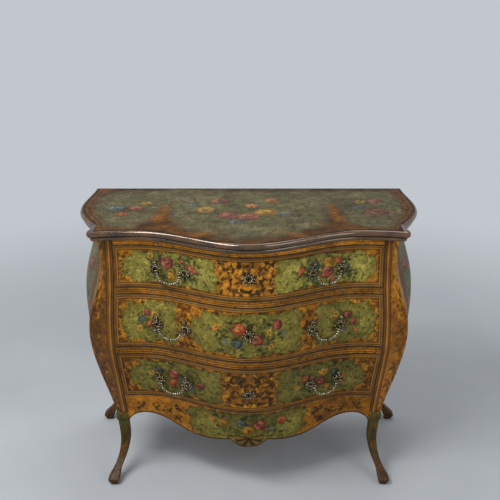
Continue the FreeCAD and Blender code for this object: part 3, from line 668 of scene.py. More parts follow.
def bare_pine(name="bare_pine", rings=(8, 8, 200), pores=(3, 3, 800)):
    """Bare pine of drawer linings and carcass: straight grain, yellowed and dusty, quite matt."""
    material, tree, shader, place = new_material(name)
    # Growth rings about 5 mm apart and pores about 1 mm wide, both stretched along the boards
    layers = []
    for scale, wander in ((rings, 0.6), (pores, 0.1)):
        run = add_node(tree, "ShaderNodeMapping", {"Vector": place, "Scale": scale})
        layer = add_node(tree, "ShaderNodeTexNoise", {"Vector": run, "Scale": 1.0, "Detail": 6.0,
                                                      "Distortion": wander})
        layers.append(layer)
    grain = add_node(tree, "ShaderNodeMath", {0: layers[1], 1: 0.4, 2: layers[0]}, operation="MULTIPLY_ADD")
    ramp = add_node(tree, "ShaderNodeValToRGB", {"Fac": grain},
                    stops=((0.5, shade("lining") * 0.52), (0.9, shade("lining") * 1.4)))
    rough = add_node(tree, "ShaderNodeMapRange", {"Value": grain, "To Min": 0.55, "To Max": 0.75})
    bump = add_node(tree, "ShaderNodeBump", {"Height": grain, "Strength": 0.2, "Distance": 0.0008})
    feed(tree, shader, {"Base Color": ramp, "Roughness": rough, "Normal": bump})
    return material


def flat_pine():
    """The same pine in boards that lie flat: the grain shows across their depth."""
    return bare_pine("bare_pine_flat", (8, 200, 8), (3, 800, 3))


def aged_brass():
    """Cast brass with a dark patina, rubbed bright on the high parts."""
    material, tree, shader, place = new_material("aged_brass")
    # Patina in spots of about 8 mm
    patina = add_node(tree, "ShaderNodeTexNoise", {"Vector": place, "Scale": 1 / 0.008, "Detail": 5.0})
    ramp = add_node(tree, "ShaderNodeValToRGB", {"Fac": patina},
                    stops=((0.38, shade("brass") * 0.066), (0.68, shade("brass") * 0.8)))
    rough = add_node(tree, "ShaderNodeMapRange", {"Value": patina, "From Min": 0.3, "From Max": 0.7,
                                                  "To Min": 0.55, "To Max": 0.3})
    bump = add_node(tree, "ShaderNodeBump", {"Height": patina, "Strength": 0.25, "Distance": 0.0006})
    feed(tree, shader, {"Base Color": ramp, "Roughness": rough, "Normal": bump, "Metallic": 0.9})
    return material


def rubbed_brass():
    """Cast brass polished by handling, made pale gold for the painted highlights on the beads of the handles,
    with dull hollows.
    """
    material, tree, shader, place = new_material("rubbed_brass")
    # Dull spots of about 6 mm
    dull = add_node(tree, "ShaderNodeTexNoise", {"Vector": place, "Scale": 1 / 0.006, "Detail": 3.0})
    ramp = add_node(tree, "ShaderNodeValToRGB", {"Fac": dull}, stops=((0.36, "#5d543c"), (0.62, "#cfc7a8")))
    rough = add_node(tree, "ShaderNodeMapRange", {"Value": dull, "From Min": 0.3, "From Max": 0.7,
                                                  "To Min": 0.45, "To Max": 0.26})
    feed(tree, shader, {"Base Color": ramp, "Roughness": rough, "Metallic": 0.85})
    return material


def lock_iron():
    """Forged iron of locks and nuts: dark brown scale, dull."""
    material, tree, shader, place = new_material("forged_iron")
    # Scale in flakes of about 10 mm
    flakes = add_node(tree, "ShaderNodeTexNoise", {"Vector": place, "Scale": 1 / 0.01, "Detail": 6.0})
    ramp = add_node(tree, "ShaderNodeValToRGB", {"Fac": flakes}, stops=((0.35, "#241f1a"), (0.7, "#5a4a3c")))
    bump = add_node(tree, "ShaderNodeBump", {"Height": flakes, "Strength": 0.3, "Distance": 0.0008})
    feed(tree, shader, {"Base Color": ramp, "Roughness": 0.55, "Normal": bump, "Metallic": 0.7})
    return material


MATERIALS = {}


def finish(name):
    """A finish, made once."""
    makers = {"paint": varnished_paint, "worn": worn_paint, "edge": edge_paint, "lacquer": top_lacquer,
              "leg": leg_paint, "pine": bare_pine, "flat": flat_pine, "brass": aged_brass,
              "bright": rubbed_brass, "iron": lock_iron}
    if name not in MATERIALS:
        MATERIALS[name] = makers[name]()
    return MATERIALS[name]


# Finishes of the pieces of the frame, by the ends of their names. The first that fits is used.
FINISHES = (("brass", ("_bail", "_rosettes", "_handle_posts", "_escutcheon")),
            ("iron", ("_lock_case", "_lock_bolt", "_handle_nuts")),
            ("lacquer", ("top_board", "sub_top")),
            ("leg", ("_leg",)),
            ("edge", ("stile", "_rail", "_front", "apron", "side_panel", "rear_post")),
            ("flat", ("_bottom", "bottom_board")),
            ("pine", ("",)))


class CHEST_OT_finishes(Operator):
    """Give every wooden and metal piece of the frame its finish"""
    bl_idname = "chest.finishes"
    bl_label = "Finishes"

    def execute(self, context):
        for name, node in frame["nodes"].items():
            kind = next(kind for kind, endings in FINISHES if name.endswith(endings))
            node.data.materials.clear()
            node.data.materials.append(finish(kind))
        return {"FINISHED"}


def panel_loop(x0, x1, y0, y1, shares):
    """Outline of a panel between two ends and two heights."""
    return smooth_loop([(x0 + (x1 - x0) * a, y0 + (y1 - y0) * b) for a, b in shares])


# Outline of a flower panel on the left, as shares of its width and height, and of one on the right
PANEL_SHARES = ((0.0, 0.52), (0.03, 0.76), (0.10, 0.80), (0.13, 0.95), (0.30, 0.90), (0.52, 0.98),
                (0.72, 0.94), (0.92, 0.98), (0.985, 0.86), (0.965, 0.62), (1.0, 0.46), (0.975, 0.24),
                (0.99, 0.10), (0.90, 0.03), (0.68, 0.07), (0.48, 0.02), (0.28, 0.09), (0.13, 0.04),
                (0.08, 0.18), (0.02, 0.26))
MIRRORED_SHARES = tuple((1 - a, b) for a, b in PANEL_SHARES)
# Flowers of each panel: across and up from its middle, radius, all in millimetres, kind, pigments
UPPER_LEFT = ((-8, 16, 24, "rose", ROSE), (4, -22, 17, "rose", YELLOW), (66, 12, 14, "rose", CORAL),
              (80, 2, 11, "rose", ROSE), (-62, 34, 10, "blossom", YELLOW), (38, 26, 9, "blossom", CORAL),
              (-40, -12, 9, "blossom", YELLOW))
UPPER_RIGHT = ((8, 22, 23, "rose", YELLOW), (4, -10, 24, "rose", ROSE), (-34, 14, 18, "rose", BLUE),
               (-78, 8, 14, "rose", CORAL), (40, 24, 13, "rose", CORAL), (64, 2, 13, "rose", BLUE),
               (24, -34, 10, "blossom", ROSE))
MIDDLE_LEFT = ((-8, 30, 15, "rose", ROSE), (-26, 8, 14, "rose", BLUE), (16, 26, 11, "blossom", YELLOW),
               (4, -8, 15, "rose", CORAL), (10, -32, 10, "blossom", BLUE), (-32, -24, 9, "blossom", YELLOW))
MIDDLE_RIGHT = ((8, 26, 16, "rose", ROSE), (-14, 4, 15, "rose", CORAL), (26, -2, 14, "rose", ROSE),
                (-4, -26, 11, "blossom", BLUE), (-30, 28, 10, "blossom", YELLOW),
                (34, -28, 9, "blossom", CORAL))
MIDDLE_CENTRE = ((-22, 20, 26, "rose", CORAL), (30, -14, 24, "rose", ROSE), (-28, -28, 20, "rose", BLUE),
                 (2, -8, 15, "rose", YELLOW), (-90, 28, 13, "rose", YELLOW), (-100, 16, 9, "blossom", CORAL),
                 (92, 30, 20, "rose", ROSE), (70, 6, 11, "blossom", YELLOW), (-64, -22, 10, "blossom", BLUE),
                 (74, -38, 11, "blossom", YELLOW), (112, 2, 9, "blossom", BLUE))
LOWER_LEFT = ((-8, 16, 22, "rose", ROSE), (-14, -20, 19, "rose", CORAL), (26, -4, 18, "rose", BLUE),
              (-58, 26, 16, "rose", BLUE), (76, -8, 15, "rose", ROSE), (-82, 10, 12, "blossom", YELLOW),
              (44, -32, 10, "blossom", BLUE))
LOWER_RIGHT = ((10, 26, 20, "rose", YELLOW), (0, -8, 23, "rose", ROSE), (-46, 14, 17, "rose", CORAL),
               (46, 18, 15, "rose", BLUE), (70, -6, 13, "rose", CORAL), (-74, -14, 10, "blossom", YELLOW),
               (26, -34, 10, "blossom", CORAL))
# Panels of each drawer: left end, right end, flowers
PANELS = {
    "upper_drawer": ((-390, -93, UPPER_LEFT), (78, 396, UPPER_RIGHT)),
    "middle_drawer": ((-400, -220, MIDDLE_LEFT), (-182, 172, MIDDLE_CENTRE), (206, 402, MIDDLE_RIGHT)),
    "lower_drawer": ((-386, -76, LOWER_LEFT), (82, 378, LOWER_RIGHT)),
}
# Share of their full colour that the olive and the amber of each drawer keep: painted light and shade, less
# of it below
OLIVE_LIGHT_SHARES = {"upper_drawer": 0.93, "middle_drawer": 0.66, "lower_drawer": 0.51}
AMBER_LIGHT_SHARES = {"upper_drawer": 1.3, "middle_drawer": 0.83, "lower_drawer": 0.5}
# Painted light and shade: the olive of the panels on the right, against those on the left
RIGHT_LIGHT_SHARES = {"upper_drawer": 1.3, "middle_drawer": 0.92, "lower_drawer": 0.92}
# Tone of the varnish over each piece, browner below
VARNISH_TONES = {"upper_drawer": (1.0, 1.0, 0.92), "middle_drawer": (1.08, 1.03, 0.78),
                 "lower_drawer": (1.03, 0.97, 0.68), "apron": (1.0, 0.95, 0.62), "stile": (1.0, 0.95, 0.72)}
# Bare rim of a drawer front, which has its own painted highlight, in metres
BEAD_RIM = 0.0053
# Half length of the scrollwork, its cell, and the hole in the paint round a keyhole, in millimetres
SCROLL_REACH, SCROLL_CELL, KEYHOLE_CLEAR = 425, 36, 9.0


def paled(olive):
    """Lighter, greyer olive of the painted light in the middle of a panel."""
    return olive * 1.1 + CREAM[1] * 0.12


def keyhole_height(drawer):
    """Height of the middle of a drawer's escutcheon above the floor."""
    lo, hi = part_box(drawer + "_escutcheon")
    return (lo.z + hi.z) / 2


def paint_drawer(drawer):
    """Flower panels on amber scrollwork, inside brown and gilt lines."""
    points = front_skin(drawer + "_front", sizes().paint_step, BEAD_RIM)
    u, v = points[..., 0] / MM, points[..., 2] / MM
    low, high = v.min(), v.max()
    middle, margin = (low + high) / 2, (high - low) * 0.045
    # Painted light and shade: the amber and the olive of each front lighter above and darker below
    amber, olive = shade("amber") * AMBER_LIGHT_SHARES[drawer], shade("olive") * OLIVE_LIGHT_SHARES[drawer]
    p = Painting(u, v, amber, DRAWERS.index(drawer) + 3)
    p.wash(shade("umber"), 0.55, 30)
    p.wash(shade("gold"), 0.35, 14)
    # Painted shade: umber over the amber towards the ends of the front
    p.coat(0.3 * np.clip((np.abs(p.u) - 300) / 120, 0, 1), shade("umber"))
    edges = [-SCROLL_REACH] + [x for panel in PANELS[drawer] for x in panel[:2]] + [SCROLL_REACH]
    for x0, x1 in zip(edges[::2], edges[1::2]):
        p.arabesque(x0 - 6, x1 + 6, low + 6, high - 6, SCROLL_CELL)
    # Painted shade: the scrollwork darker brown towards the ends
    p.coat(0.5 * np.clip((np.abs(p.x) - 110) / 160, 0, 1), amber * 0.55)
    for x0, x1, flowers in PANELS[drawer]:
        shares = PANEL_SHARES if x0 + x1 < 0 else MIRRORED_SHARES
        # Painted light and shade: the panels on the right in an olive of their own share
        ground = olive * (RIGHT_LIGHT_SHARES[drawer] if x0 > 0 else 1.0)
        p.cartouche(panel_loop(x0, x1, low + margin, high - margin, shares), ground, paled(ground))
        p.bouquet((x0 + x1) / 2, middle, (x1 - x0) * 0.36, flowers, 15)
    p.age(0.5, 0.25)
    p.rgb *= VARNISH_TONES[drawer]
    ends = np.repeat(np.abs(u).max(1)[:, None], u.shape[1], 1).ravel()
    edge = np.minimum(ends - np.abs(p.x), np.minimum(p.y - low, high - p.y))
    p.coat(0.9 * soft(edge - 6.0, 3.0), shade("rail"))
    p.line(edge, 7.0, 1.1, 1.6, shade("umber"), 0.9)
    p.line(edge, 3.4, 0.8, 1.6, shade("gold"), 0.7)
    keep = np.hypot(p.x, p.y - keyhole_height(drawer) / MM) > KEYHOLE_CLEAR
    sheet(drawer + "_painting", drawer, points, (0, 0.0012, 0), p.rgb, keep=keep)


def paint_bead_highlight(drawer):
    """Pale line along the crest of the bead round a drawer front: a painted highlight, broken in patches."""
    front = front_probe(drawer + "_front")
    lo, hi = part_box(drawer + "_front")
    insets = np.linspace(0.0008, 0.0044, 5)
    across = np.linspace(-1, 1, 360)
    rows = []
    for inset in insets:
        heights = np.linspace(lo.z + inset, hi.z - inset, 60)
        ends = [front_end(front, z) - inset for z in heights]
        path = [(a * ends[0], heights[0]) for a in across] + list(zip(ends, heights))[1:-1]
        path += [(-a * ends[-1], heights[-1]) for a in across]
        path += [(-x, z) for x, z in zip(ends, heights)][-2::-1]
        rows.append([(x, front(x, z) - sizes().paint_lift, z) for x, z in path])
    points = np.array(rows)
    crest = points[2][:, ::2]
    along = np.cumsum(np.hypot(*np.diff(crest, axis=0, prepend=crest[:1]).T)) / MM
    u = np.repeat(along[None, :], len(rows), 0)
    v = np.repeat(insets[:, None] / MM, len(along), 1)
    p = Painting(u, v, shade("rail") * 0.7, 5)
    # The painted highlight broken in patches along the bead
    wear = np.clip((p.mottle(30, 4.0) * 0.6 + p.mottle(7, 3.0) * 0.4 - 0.3) * 2.5, 0.1, 1)
    p.line(p.y, 2.4, 0.9, 1.2, shade("bead"), 0.85 * wear)
    sheet(drawer + "_bead", drawer, points, (0, 0.0008, 0), p.rgb)


class CHEST_OT_drawer_paint(Operator):
    """Paint flower panels, scrolls and borders on the drawer fronts, and painted highlights along their beads
    """
    bl_idname = "chest.drawer_paint"
    bl_label = "Drawer paintings"

    def execute(self, context):
        for drawer in DRAWERS:
            paint_drawer(drawer)
            paint_bead_highlight(drawer)
        return {"FINISHED"}


# Lines along a rail: place and half width as shares of its height, pigment, strength
RAIL_LINES = ((0.0, 0.07, "umber", 1.0), (0.20, 0.05, "gold", 0.7), (0.31, 0.03, "umber", 0.8),
              (0.46, 0.09, "amber", 0.9), (0.60, 0.03, "umber", 0.8), (0.74, 0.06, "gold", 0.55),
              (0.85, 0.03, "umber", 0.7), (1.0, 0.07, "umber", 1.0))
# Share of their full colour that each rail's pigments show: painted light, the frieze in the shadow of the
# top's overhang painted much lighter
RAIL_LIGHT_SHARES = {"frieze_rail": 2.2, "upper_rail": 1.05, "lower_rail": 0.98}
# Spacing of the paint points on a rail, in metres
RAIL_STEP = 0.0012


class CHEST_OT_rail_paint(Operator):
    """Paint brown bands with umber and gilt lines along the rails"""
    bl_idname = "chest.rail_paint"
    bl_label = "Rail bands"

    def execute(self, context):
        for rail in RAILS:
            points = front_skin(rail, RAIL_STEP, 0.0005)
            v = points[..., 2] / MM
            # Painted light: each rail's ground and lines lighter or darker by its share
            p = Painting(points[..., 0] / MM, v, shade("rail") * RAIL_LIGHT_SHARES[rail], 11)
            share = (p.y - v.min()) / np.ptp(v) + (p.mottle(20, 6.0) - 0.5) * 0.03
            for spot, half, pigment, strength in RAIL_LINES:
                p.line(share, spot, half, 0.05, shade(pigment) * RAIL_LIGHT_SHARES[rail], strength)
            p.wash(shade("umber"), 0.5, 12, 5.0)
            p.age(0.5, 0.2)
            sheet(rail + "_painting", "carcass", points, (0, 0.001, 0), p.rgb)
        return {"FINISHED"}


# Flower panel of the apron, its flowers, and its scrolls on the right (place, size, turn), in millimetres.
# The panel and the scrolls are measured up from the floor, the flowers from the middle of their bunch.
APRON_PANEL = ((-176, 298), (-204, 274), (-188, 250), (-196, 226), (-170, 196), (-110, 176), (-60, 186),
               (0, 176), (60, 186), (110, 176), (164, 196), (186, 226), (178, 250), (196, 274), (170, 298),
               (120, 304), (60, 301), (0, 305), (-60, 301), (-120, 304))
APRON_FLOWERS = ((-84, 2, 20, "rose", YELLOW), (-22, 4, 20, "rose", BLUE), (36, 0, 27, "rose", ROSE),
                 (108, 8, 19, "rose", CORAL), (-2, -22, 22, "rose", YELLOW), (74, -18, 10, "blossom", BLUE),
                 (-120, 12, 10, "blossom", CORAL))
APRON_SCROLLS = ((356, 268, 30, 0.5), (310, 262, 26, 2.4), (268, 256, 30, 0.9), (226, 268, 34, 2.0),
                 (236, 236, 28, 4.0))


class CHEST_OT_apron_paint(Operator):
    """Paint the flower panel, the amber ends and the edge line of the apron"""
    bl_idname = "chest.apron_paint"
    bl_label = "Apron painting"

    def execute(self, context):
        points = apron_skin(sizes().paint_step, 0.0012)
        u, v = points[..., 0] / MM, points[..., 2] / MM
        # The olive painted darker low down, as on the lowest drawer: painted shade
        umber, gold, olive = shade("umber"), shade("gold"), shade("olive") * 0.56
        p = Painting(u, v, shade("amber") * 0.86, 21)
        p.wash(umber, 0.55, 34)
        p.wash(gold, 0.4, 16)
        for side in (-1, 1):
            for x, z, size, turn in APRON_SCROLLS:
                p.scroll(side * x, z, size, turn if side > 0 else math.pi - turn, side, umber, gold, 0.26)
        # Painted shade: darker to the right
        p.rgb *= (0.96 - 0.26 * np.clip(p.x / 260, -1, 1))[:, None]
        p.cartouche(smooth_loop(APRON_PANEL), olive, paled(olive))
        # Pale patches at the ends of the panel and below its middle: painted highlights
        for x, z, wide in ((-140, 244, 46), (138, 246, 36), (-40, 214, 40)):
            p.blob(x, z, wide, 22, 0.2, paled(olive) * 1.5, 0.55, 22)
        p.bouquet(0, 258, 150, APRON_FLOWERS, 17)
        p.age(0.5, 0.25)
        p.rgb *= VARNISH_TONES["apron"]
        rise = p.y - np.repeat(v.min(0)[None, :], u.shape[0], 0).ravel()
        p.coat(0.85 * soft(rise - 5.0, 3.0), umber)
        p.line(rise, 8.5, 1.2, 2.0, gold, 0.35)
        drop = v.max() - p.y
        p.coat(soft(drop - 3.0, 2.0), umber)
        p.line(drop, 6.5, 1.4, 2.0, shade("rail") * 1.4, 0.8)
        sheet("apron_painting", "carcass", points, (0, 0.0012, 0), p.rgb)
        return {"FINISHED"}


# Way square to the canted face of the right stile, and a point near its corner, as seen from above
CANT_X, CANT_Y = 0.55, 0.835
STILE_CORNER = (0.47, -0.11)
# Width of the grid round a stile and bare rim left round a skin, in metres
STILE_GIRTH, RIM = 0.13, 0.0006


def stile_rows(side, word, step):
    """Rows of points round the front and the canted face of a stile, from the opening outwards."""
    tree = caster(word + "_stile")
    lo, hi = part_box(word + "_stile")
    look = Vector((-side * CANT_X, CANT_Y, 0))
    along = Vector((side * CANT_Y, CANT_X, 0))
    far = Vector((side * STILE_CORNER[0], STILE_CORNER[1], 0)) - look

    def struck(reach, z):
        return tree.ray_cast(far + along * reach + Vector((0, 0, z)), look)[0]

    rows = []
    for z in np.linspace(lo.z + 0.0005, hi.z - 0.0005, int((hi.z - lo.z) / step)):
        start = next(r for r in np.arange(0, 0.09, 0.004) if struck(r - 0.03, z) is not None) - 0.03
        inner = last_hit(lambda r: struck(r, z) is not None, start, start - 0.1) + RIM
        outer = last_hit(lambda r: struck(r, z) is not None, start, start + 0.2) - RIM
        reaches = np.linspace(inner, outer, int(STILE_GIRTH / step))
        rows.append([struck(r, z) - look * sizes().paint_lift for r in reaches])
    return np.array(rows)


def row_lengths(points):
    """Length along each row up to each point, in millimetres."""
    run = np.diff(points[..., :2], axis=1)
    lengths = np.cumsum(np.hypot(run[..., 0], run[..., 1]), 1)
    return np.concatenate([np.zeros((len(points), 1)), lengths], 1) / MM


def outward(points, rgb, side):
    """Grid and colours of one side, with columns in the order that turns its faces outwards."""
    rgb = rgb.reshape(points.shape)
    return (points, rgb) if side > 0 else (points[:, ::-1], rgb[:, ::-1])


# Leaves grow up the canted corners above this height, scrolls below it, one in each step, in millimetres
STILE_LEAVES, STILE_LOW, STILE_HIGH, STILE_STEP = 610, 250, 862, 34.0
# Painted light and shade: share of the full amber, and light on the finished paint, left and right, the left
# stile darker
STILE_LIGHT_SHARES = {"left": (0.46, 0.85), "right": (0.88, 1.4)}


class CHEST_OT_stile_paint(Operator):
    """Paint the strips beside the drawers and the scrolled panels of the canted corners"""
    bl_idname = "chest.stile_paint"
    bl_label = "Stile paintings"

    def execute(self, context):
        amber, umber, gold, rail = shade("amber"), shade("umber"), shade("gold"), shade("rail")
        strip = sizes().strip_width / MM
        for side, word in SIDES:
            # Painted light and shade: each stile's amber and finished paint lighter or darker by its side
            share, light = STILE_LIGHT_SHARES[word]
            points = stile_rows(side, word, sizes().paint_step)
            lengths = row_lengths(points) - strip
            p = Painting(lengths, points[..., 2] / MM, amber * share, 31)
            p.wash(umber, 0.6, 24)
            p.wash(gold, 0.4, 11)
            for k, z in enumerate(np.arange(STILE_LOW, STILE_HIGH, STILE_STEP)):
                reach = lengths[np.argmin(np.abs(points[:, 0, 2] / MM - z)), -1]
                flip = 1 if k % 2 else -1
                if z > STILE_LEAVES:
                    for place, lean in ((0.36, 0.25), (0.66, -0.2)):
                        spot = reach * place + 3 * flip
                        p.leaf(spot + 3, z - 4, UP + lean, 48, 16, umber)
                        p.leaf(spot, z, UP + lean, 44, 11, gold)
                else:
                    p.scroll(reach * (0.5 - 0.1 * flip), z, 42, 1.6 + 0.4 * flip, flip, umber * 1.5, gold)
                    p.leaf(reach * (0.5 + 0.14 * flip), z + 4, UP - 0.5 * flip, 30, 12, gold)
            # The scrolls below are darker brown
            p.coat(0.35 * np.clip((640 - p.y) / 60, 0, 1), amber * 0.45)
            p.age(0.5, 0.3)
            p.rgb *= np.array(VARNISH_TONES["stile"]) * light
            ahead = p.x - lengths[:, -1:].repeat(lengths.shape[1], 1).ravel()
            p.line(ahead, -4, 5, 2.0, rail * 0.8)
            p.line(ahead, -11, 1.2, 1.8, umber)
            p.coat(soft(p.x - 3, 2.0), rail)
            p.line(p.x, 5, 1.4, 1.8, umber)
            p.line(p.x, -strip * 0.35, 1.4, 1.8, gold, 0.8)
            p.line(p.x, -strip * 0.62, 1.2, 1.8, umber, 0.9)
            p.line(p.x, -strip, 2.4, 1.6, umber * 0.4)
            p.wash(umber, 0.35, 40)
            points, rgb = outward(points, p.rgb, side)
            inward = (-side * 0.0005, 0.001, 0)
            sheet(word + "_stile_painting", "carcass", points, inward, rgb)
        return {"FINISHED"}


# Loose flowers of the sides: millimetres behind the stile and up from the floor, radius, pigments
SIDE_FLOWERS = ((48, 742, 26, ROSE), (86, 706, 17, CORAL), (40, 612, 22, CORAL), (74, 590, 25, ROSE),
                (52, 452, 20, ROSE), (98, 430, 15, CORAL), (44, 322, 20, CORAL), (250, 776, 18, ROSE),
                (272, 610, 16, CORAL), (262, 440, 18, ROSE))
# Bunches in the middle of the sides: millimetres up from the floor, spread
SIDE_BUNCHES = ((690, 105), (520, 125), (370, 90))


class CHEST_OT_side_paint(Operator):
    """Paint the grey-green sides with loose flowers"""
    bl_idname = "chest.side_paint"
    bl_label = "Side paintings"

    def execute(self, context):
        ground, step = shade("side_ground"), sizes().side_step
        for side, word in SIDES:
            tree = caster(word + "_side_panel", word + "_rear_post")
            inward = Vector((-side, 0, 0))
            lo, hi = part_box(word + "_side_panel")
            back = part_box(word + "_rear_post")[1].y

            def struck(y, z):
                return tree.ray_cast(Vector((side, y, z)), inward)[0]

            ys = np.linspace(lo.y + RIM, back - RIM, int((back - lo.y) / step))
            top = hi.z - RIM
            feet = np.array([last_hit(lambda z: struck(y, z) is not None, 0.5, 0.2) + RIM for y in ys])
            points = np.array([[struck(y, z) - inward * sizes().paint_lift for y, z in zip(ys, row)]
                               for row in columns(feet, top, step)])
            front, rear = side * ys[0] / MM, side * ys[-1] / MM
            p = Painting(side * points[..., 1] / MM, points[..., 2] / MM, ground, 41)
            p.wash(ground * 0.5, 0.7, 60)
            p.wash(LEAF[2] * 1.3, 0.4, 30)
            for z, spread in SIDE_BUNCHES:
                r = spread * 0.2
                flowers = ((-r, r * 0.8, r * 1.2, "rose", ROSE), (r, 0, r * 1.3, "rose", CORAL),
                           (0, -r * 1.2, r, "rose", ROSE), (-r * 2.2, -r * 0.4, r * 0.6, "blossom", CREAM),
                           (r * 2.3, r, r * 0.6, "blossom", BLUE))
                p.bouquet((front + rear) / 2, z, spread, flowers, 15)
            for inset, z, r, pigments in SIDE_FLOWERS:
                spot = front + side * inset
                p.sprig(spot, z, 1.2, r * 2.2)
                p.sprig(spot, z, 4.0, r * 2.2)
                p.rose(spot, z, r, pigments)
            p.wash(ground, 0.45, 45)
            p.age(0.4, 0.2)
            edge = np.minimum(np.abs(p.x - front), np.abs(p.x - rear))
            p.coat(0.8 * soft(edge - 10, 5.0), shade("rail") * 0.7)
            p.line(edge, 13, 1.4, 2.0, shade("umber"), 0.8)
            points, rgb = outward(points, p.rgb, side)
            sheet(word + "_side_painting", "carcass", points, inward * 0.001, rgb)
        return {"FINISHED"}


# Edge between the brown border and the green field of the top's right half, in millimetres
TOP_FIELD = ((0, -224), (70, -212), (130, -176), (190, -132), (234, -64), (256, 30), (270, 84), (288, 84),
             (302, 30), (320, -60), (356, -114), (410, -128), (456, -112), (474, -40), (500, 60), (506, 140),
             (486, 220), (436, 242), (200, 252), (0, 252))
# Bunches on the top: middle, spread, sprigs, flowers as on the drawers
TOP_BUNCHES = (
    (0, 10, 260, 21, (
        (-99, 128, 40, "rose", ROSE), (-140, 30, 44, "rose", YELLOW), (76, 130, 28, "rose", CORAL),
        (118, -10, 34, "rose", BLUE), (-40, -84, 34, "rose", BLUE), (-62, -22, 50, "rose", ROSE),
        (-2, -34, 46, "rose", ROSE), (56, 6, 48, "rose", YELLOW), (-190, 90, 20, "blossom", BLUE),
        (10, 76, 20, "blossom", CORAL))),
    (-395, 60, 110, 13, (
        (-30, -4, 38, "rose", BLUE), (30, -4, 36, "rose", ROSE), (-8, -62, 22, "rose", CORAL),
        (56, 54, 20, "blossom", YELLOW))),
    (405, 70, 110, 13, (
        (14, 66, 34, "rose", ROSE), (-46, 4, 30, "rose", BLUE), (8, -46, 46, "rose", ROSE),
        (-36, 58, 20, "blossom", YELLOW))),
)
# Tongues of amber on each half of the top: place, half sizes, turn, share of the amber, strength, blur
TOP_TONGUES = ((276, 10, 14, 90, 0.12, 0.7, 0.6, 30), (250, -110, 60, 30, -0.5, 0.4, 0.35, 40),
               (150, -196, 80, 16, -0.5, 0.7, 0.45, 30))
# Lines along the rim of the top: millimetres from it, half width, pigment, strength
TOP_LINES = ((4, 5, "umber", 0.7), (15, 3, "rail", 0.6), (22, 1.6, "umber", 0.7), (30, 2.5, "rail", 0.5),
             (37, 1.4, "umber", 0.55))


def paint_top(points, rim):
    """Olive field with faded flowers inside a brown border, lines along its rim."""
    amber, umber, rail, ground = shade("amber"), shade("umber"), shade("rail"), shade("top_ground")
    p = Painting(points[..., 0] / MM, points[..., 1] / MM, rail * 0.22, 51)
    p.wash(amber * 0.3, 0.75, 46)
    p.wash(umber * 0.4, 0.75, 20)
    right = [np.array(spot, float) for spot in TOP_FIELD]
    left = [spot * np.array([-1, 1]) for spot in right[-2:0:-1]]
    loop = smooth_loop(right + left)
    where, d = p.loop_distance(loop, 40)
    rough = (p.mottle(24)[where] - 0.5) * 40
    p.lay(where, 0.5 * soft(d + rough - 8.0, 18.0), umber * 0.8)
    patches = p.mottle(70)[where] * 0.45 + p.mottle(24)[where] * 0.35 + p.mottle(9)[where] * 0.2
    p.lay(where, soft(d + rough * 0.8, 50.0), ground * (0.35 + 1.25 * patches)[:, None])
    for side in (-1, 1):
        for x, y, rx, ry, turn, share, strength, blur in TOP_TONGUES:
            p.blob(side * x, y, rx, ry, side * turn, amber * share, strength, blur)
    p.foliage(loop, 520, [ground * 0.5, LEAF[1], LEAF[2], ground * 1.45, rail * 0.5, ROSE[0]], 17)
    for x, y, spread, sprigs, flowers in TOP_BUNCHES:
        p.bouquet(x, y, spread, flowers, sprigs)
    # Faded by light and use, most in the middle, with painted shade: darker towards the edge of the field and
    # its ends
    where, d = p.loop_distance(loop, 20)
    faded_and_shaded = 0.34 + 0.75 * p.mottle(26)[where] + 0.3 * soft(d + 60, 80.0) - 0.16 * np.abs(p.x[where]) / 450
    p.lay(where, (0.28 + 0.36 * p.mottle(60)[where]) * soft(d + 14, 50.0), ground * faded_and_shaded[:, None])
    # Reddish rubbed band along the sides and the back
    inset, _ = p.line_distance(slice(None), rim)
    band = soft(inset - 34, 40.0) * np.clip((p.y + 120) / 90, 0, 1)
    p.coat(0.5 * band, rail * 0.3 + ROSE[0] * 0.35 + ground * 0.3)
    for spot, half, pigment, strength in TOP_LINES:
        p.line(inset, spot, half, 2.5, shade(pigment) * 0.8, strength * p.bristle)
    p.age(0.5, 0.3)
    return p


# The top's skin is three grids that meet at this x, each side, in metres
TOP_SPLIT = 0.468


def top_patches(step):
    """Three grids of points over the flat of the top: middle, right end, left end."""
    tree = caster("top_board")
    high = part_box("top_board")[1].z
    level = high + sizes().paint_lift
    down = Vector((0, 0, -1))

    def flat(x, y):
        hit = tree.ray_cast(Vector((x, y, high + 1)), down)[0]
        return hit is not None and hit.z > high - 0.0004

    def grid(x, y):
        return np.stack([x, y, np.full(x.shape, level)], -1)

    back = last_hit(lambda y: flat(0, y), 0.0, 0.3) - 0.0005
    xs = np.linspace(-TOP_SPLIT, TOP_SPLIT, int(2 * TOP_SPLIT / step))
    fronts = np.array([last_hit(lambda y: flat(x, y), 0.0, -0.3) + 0.0005 for x in xs])
    y = columns(fronts, back, step)
    middle = grid(np.repeat(xs[None, :], len(y), 0), y)
    beyond = TOP_SPLIT + 0.008
    first = next(y for y in np.arange(-0.12, 0.1, 0.002) if flat(beyond, y) and flat(beyond, y + 0.01))
    ys = np.linspace(first, back, int((back - first) / step))
    ends = np.array([last_hit(lambda x: flat(x, y), TOP_SPLIT, 0.57) - 0.0005 for y in ys])
    across = np.linspace(0, 1, int((ends.max() - TOP_SPLIT) / step))[None, :]
    x = TOP_SPLIT + (ends[:, None] - TOP_SPLIT) * across
    y = np.repeat(ys[:, None], across.shape[1], 1)
    return middle, grid(x, y), grid(-x, y)[:, ::-1]


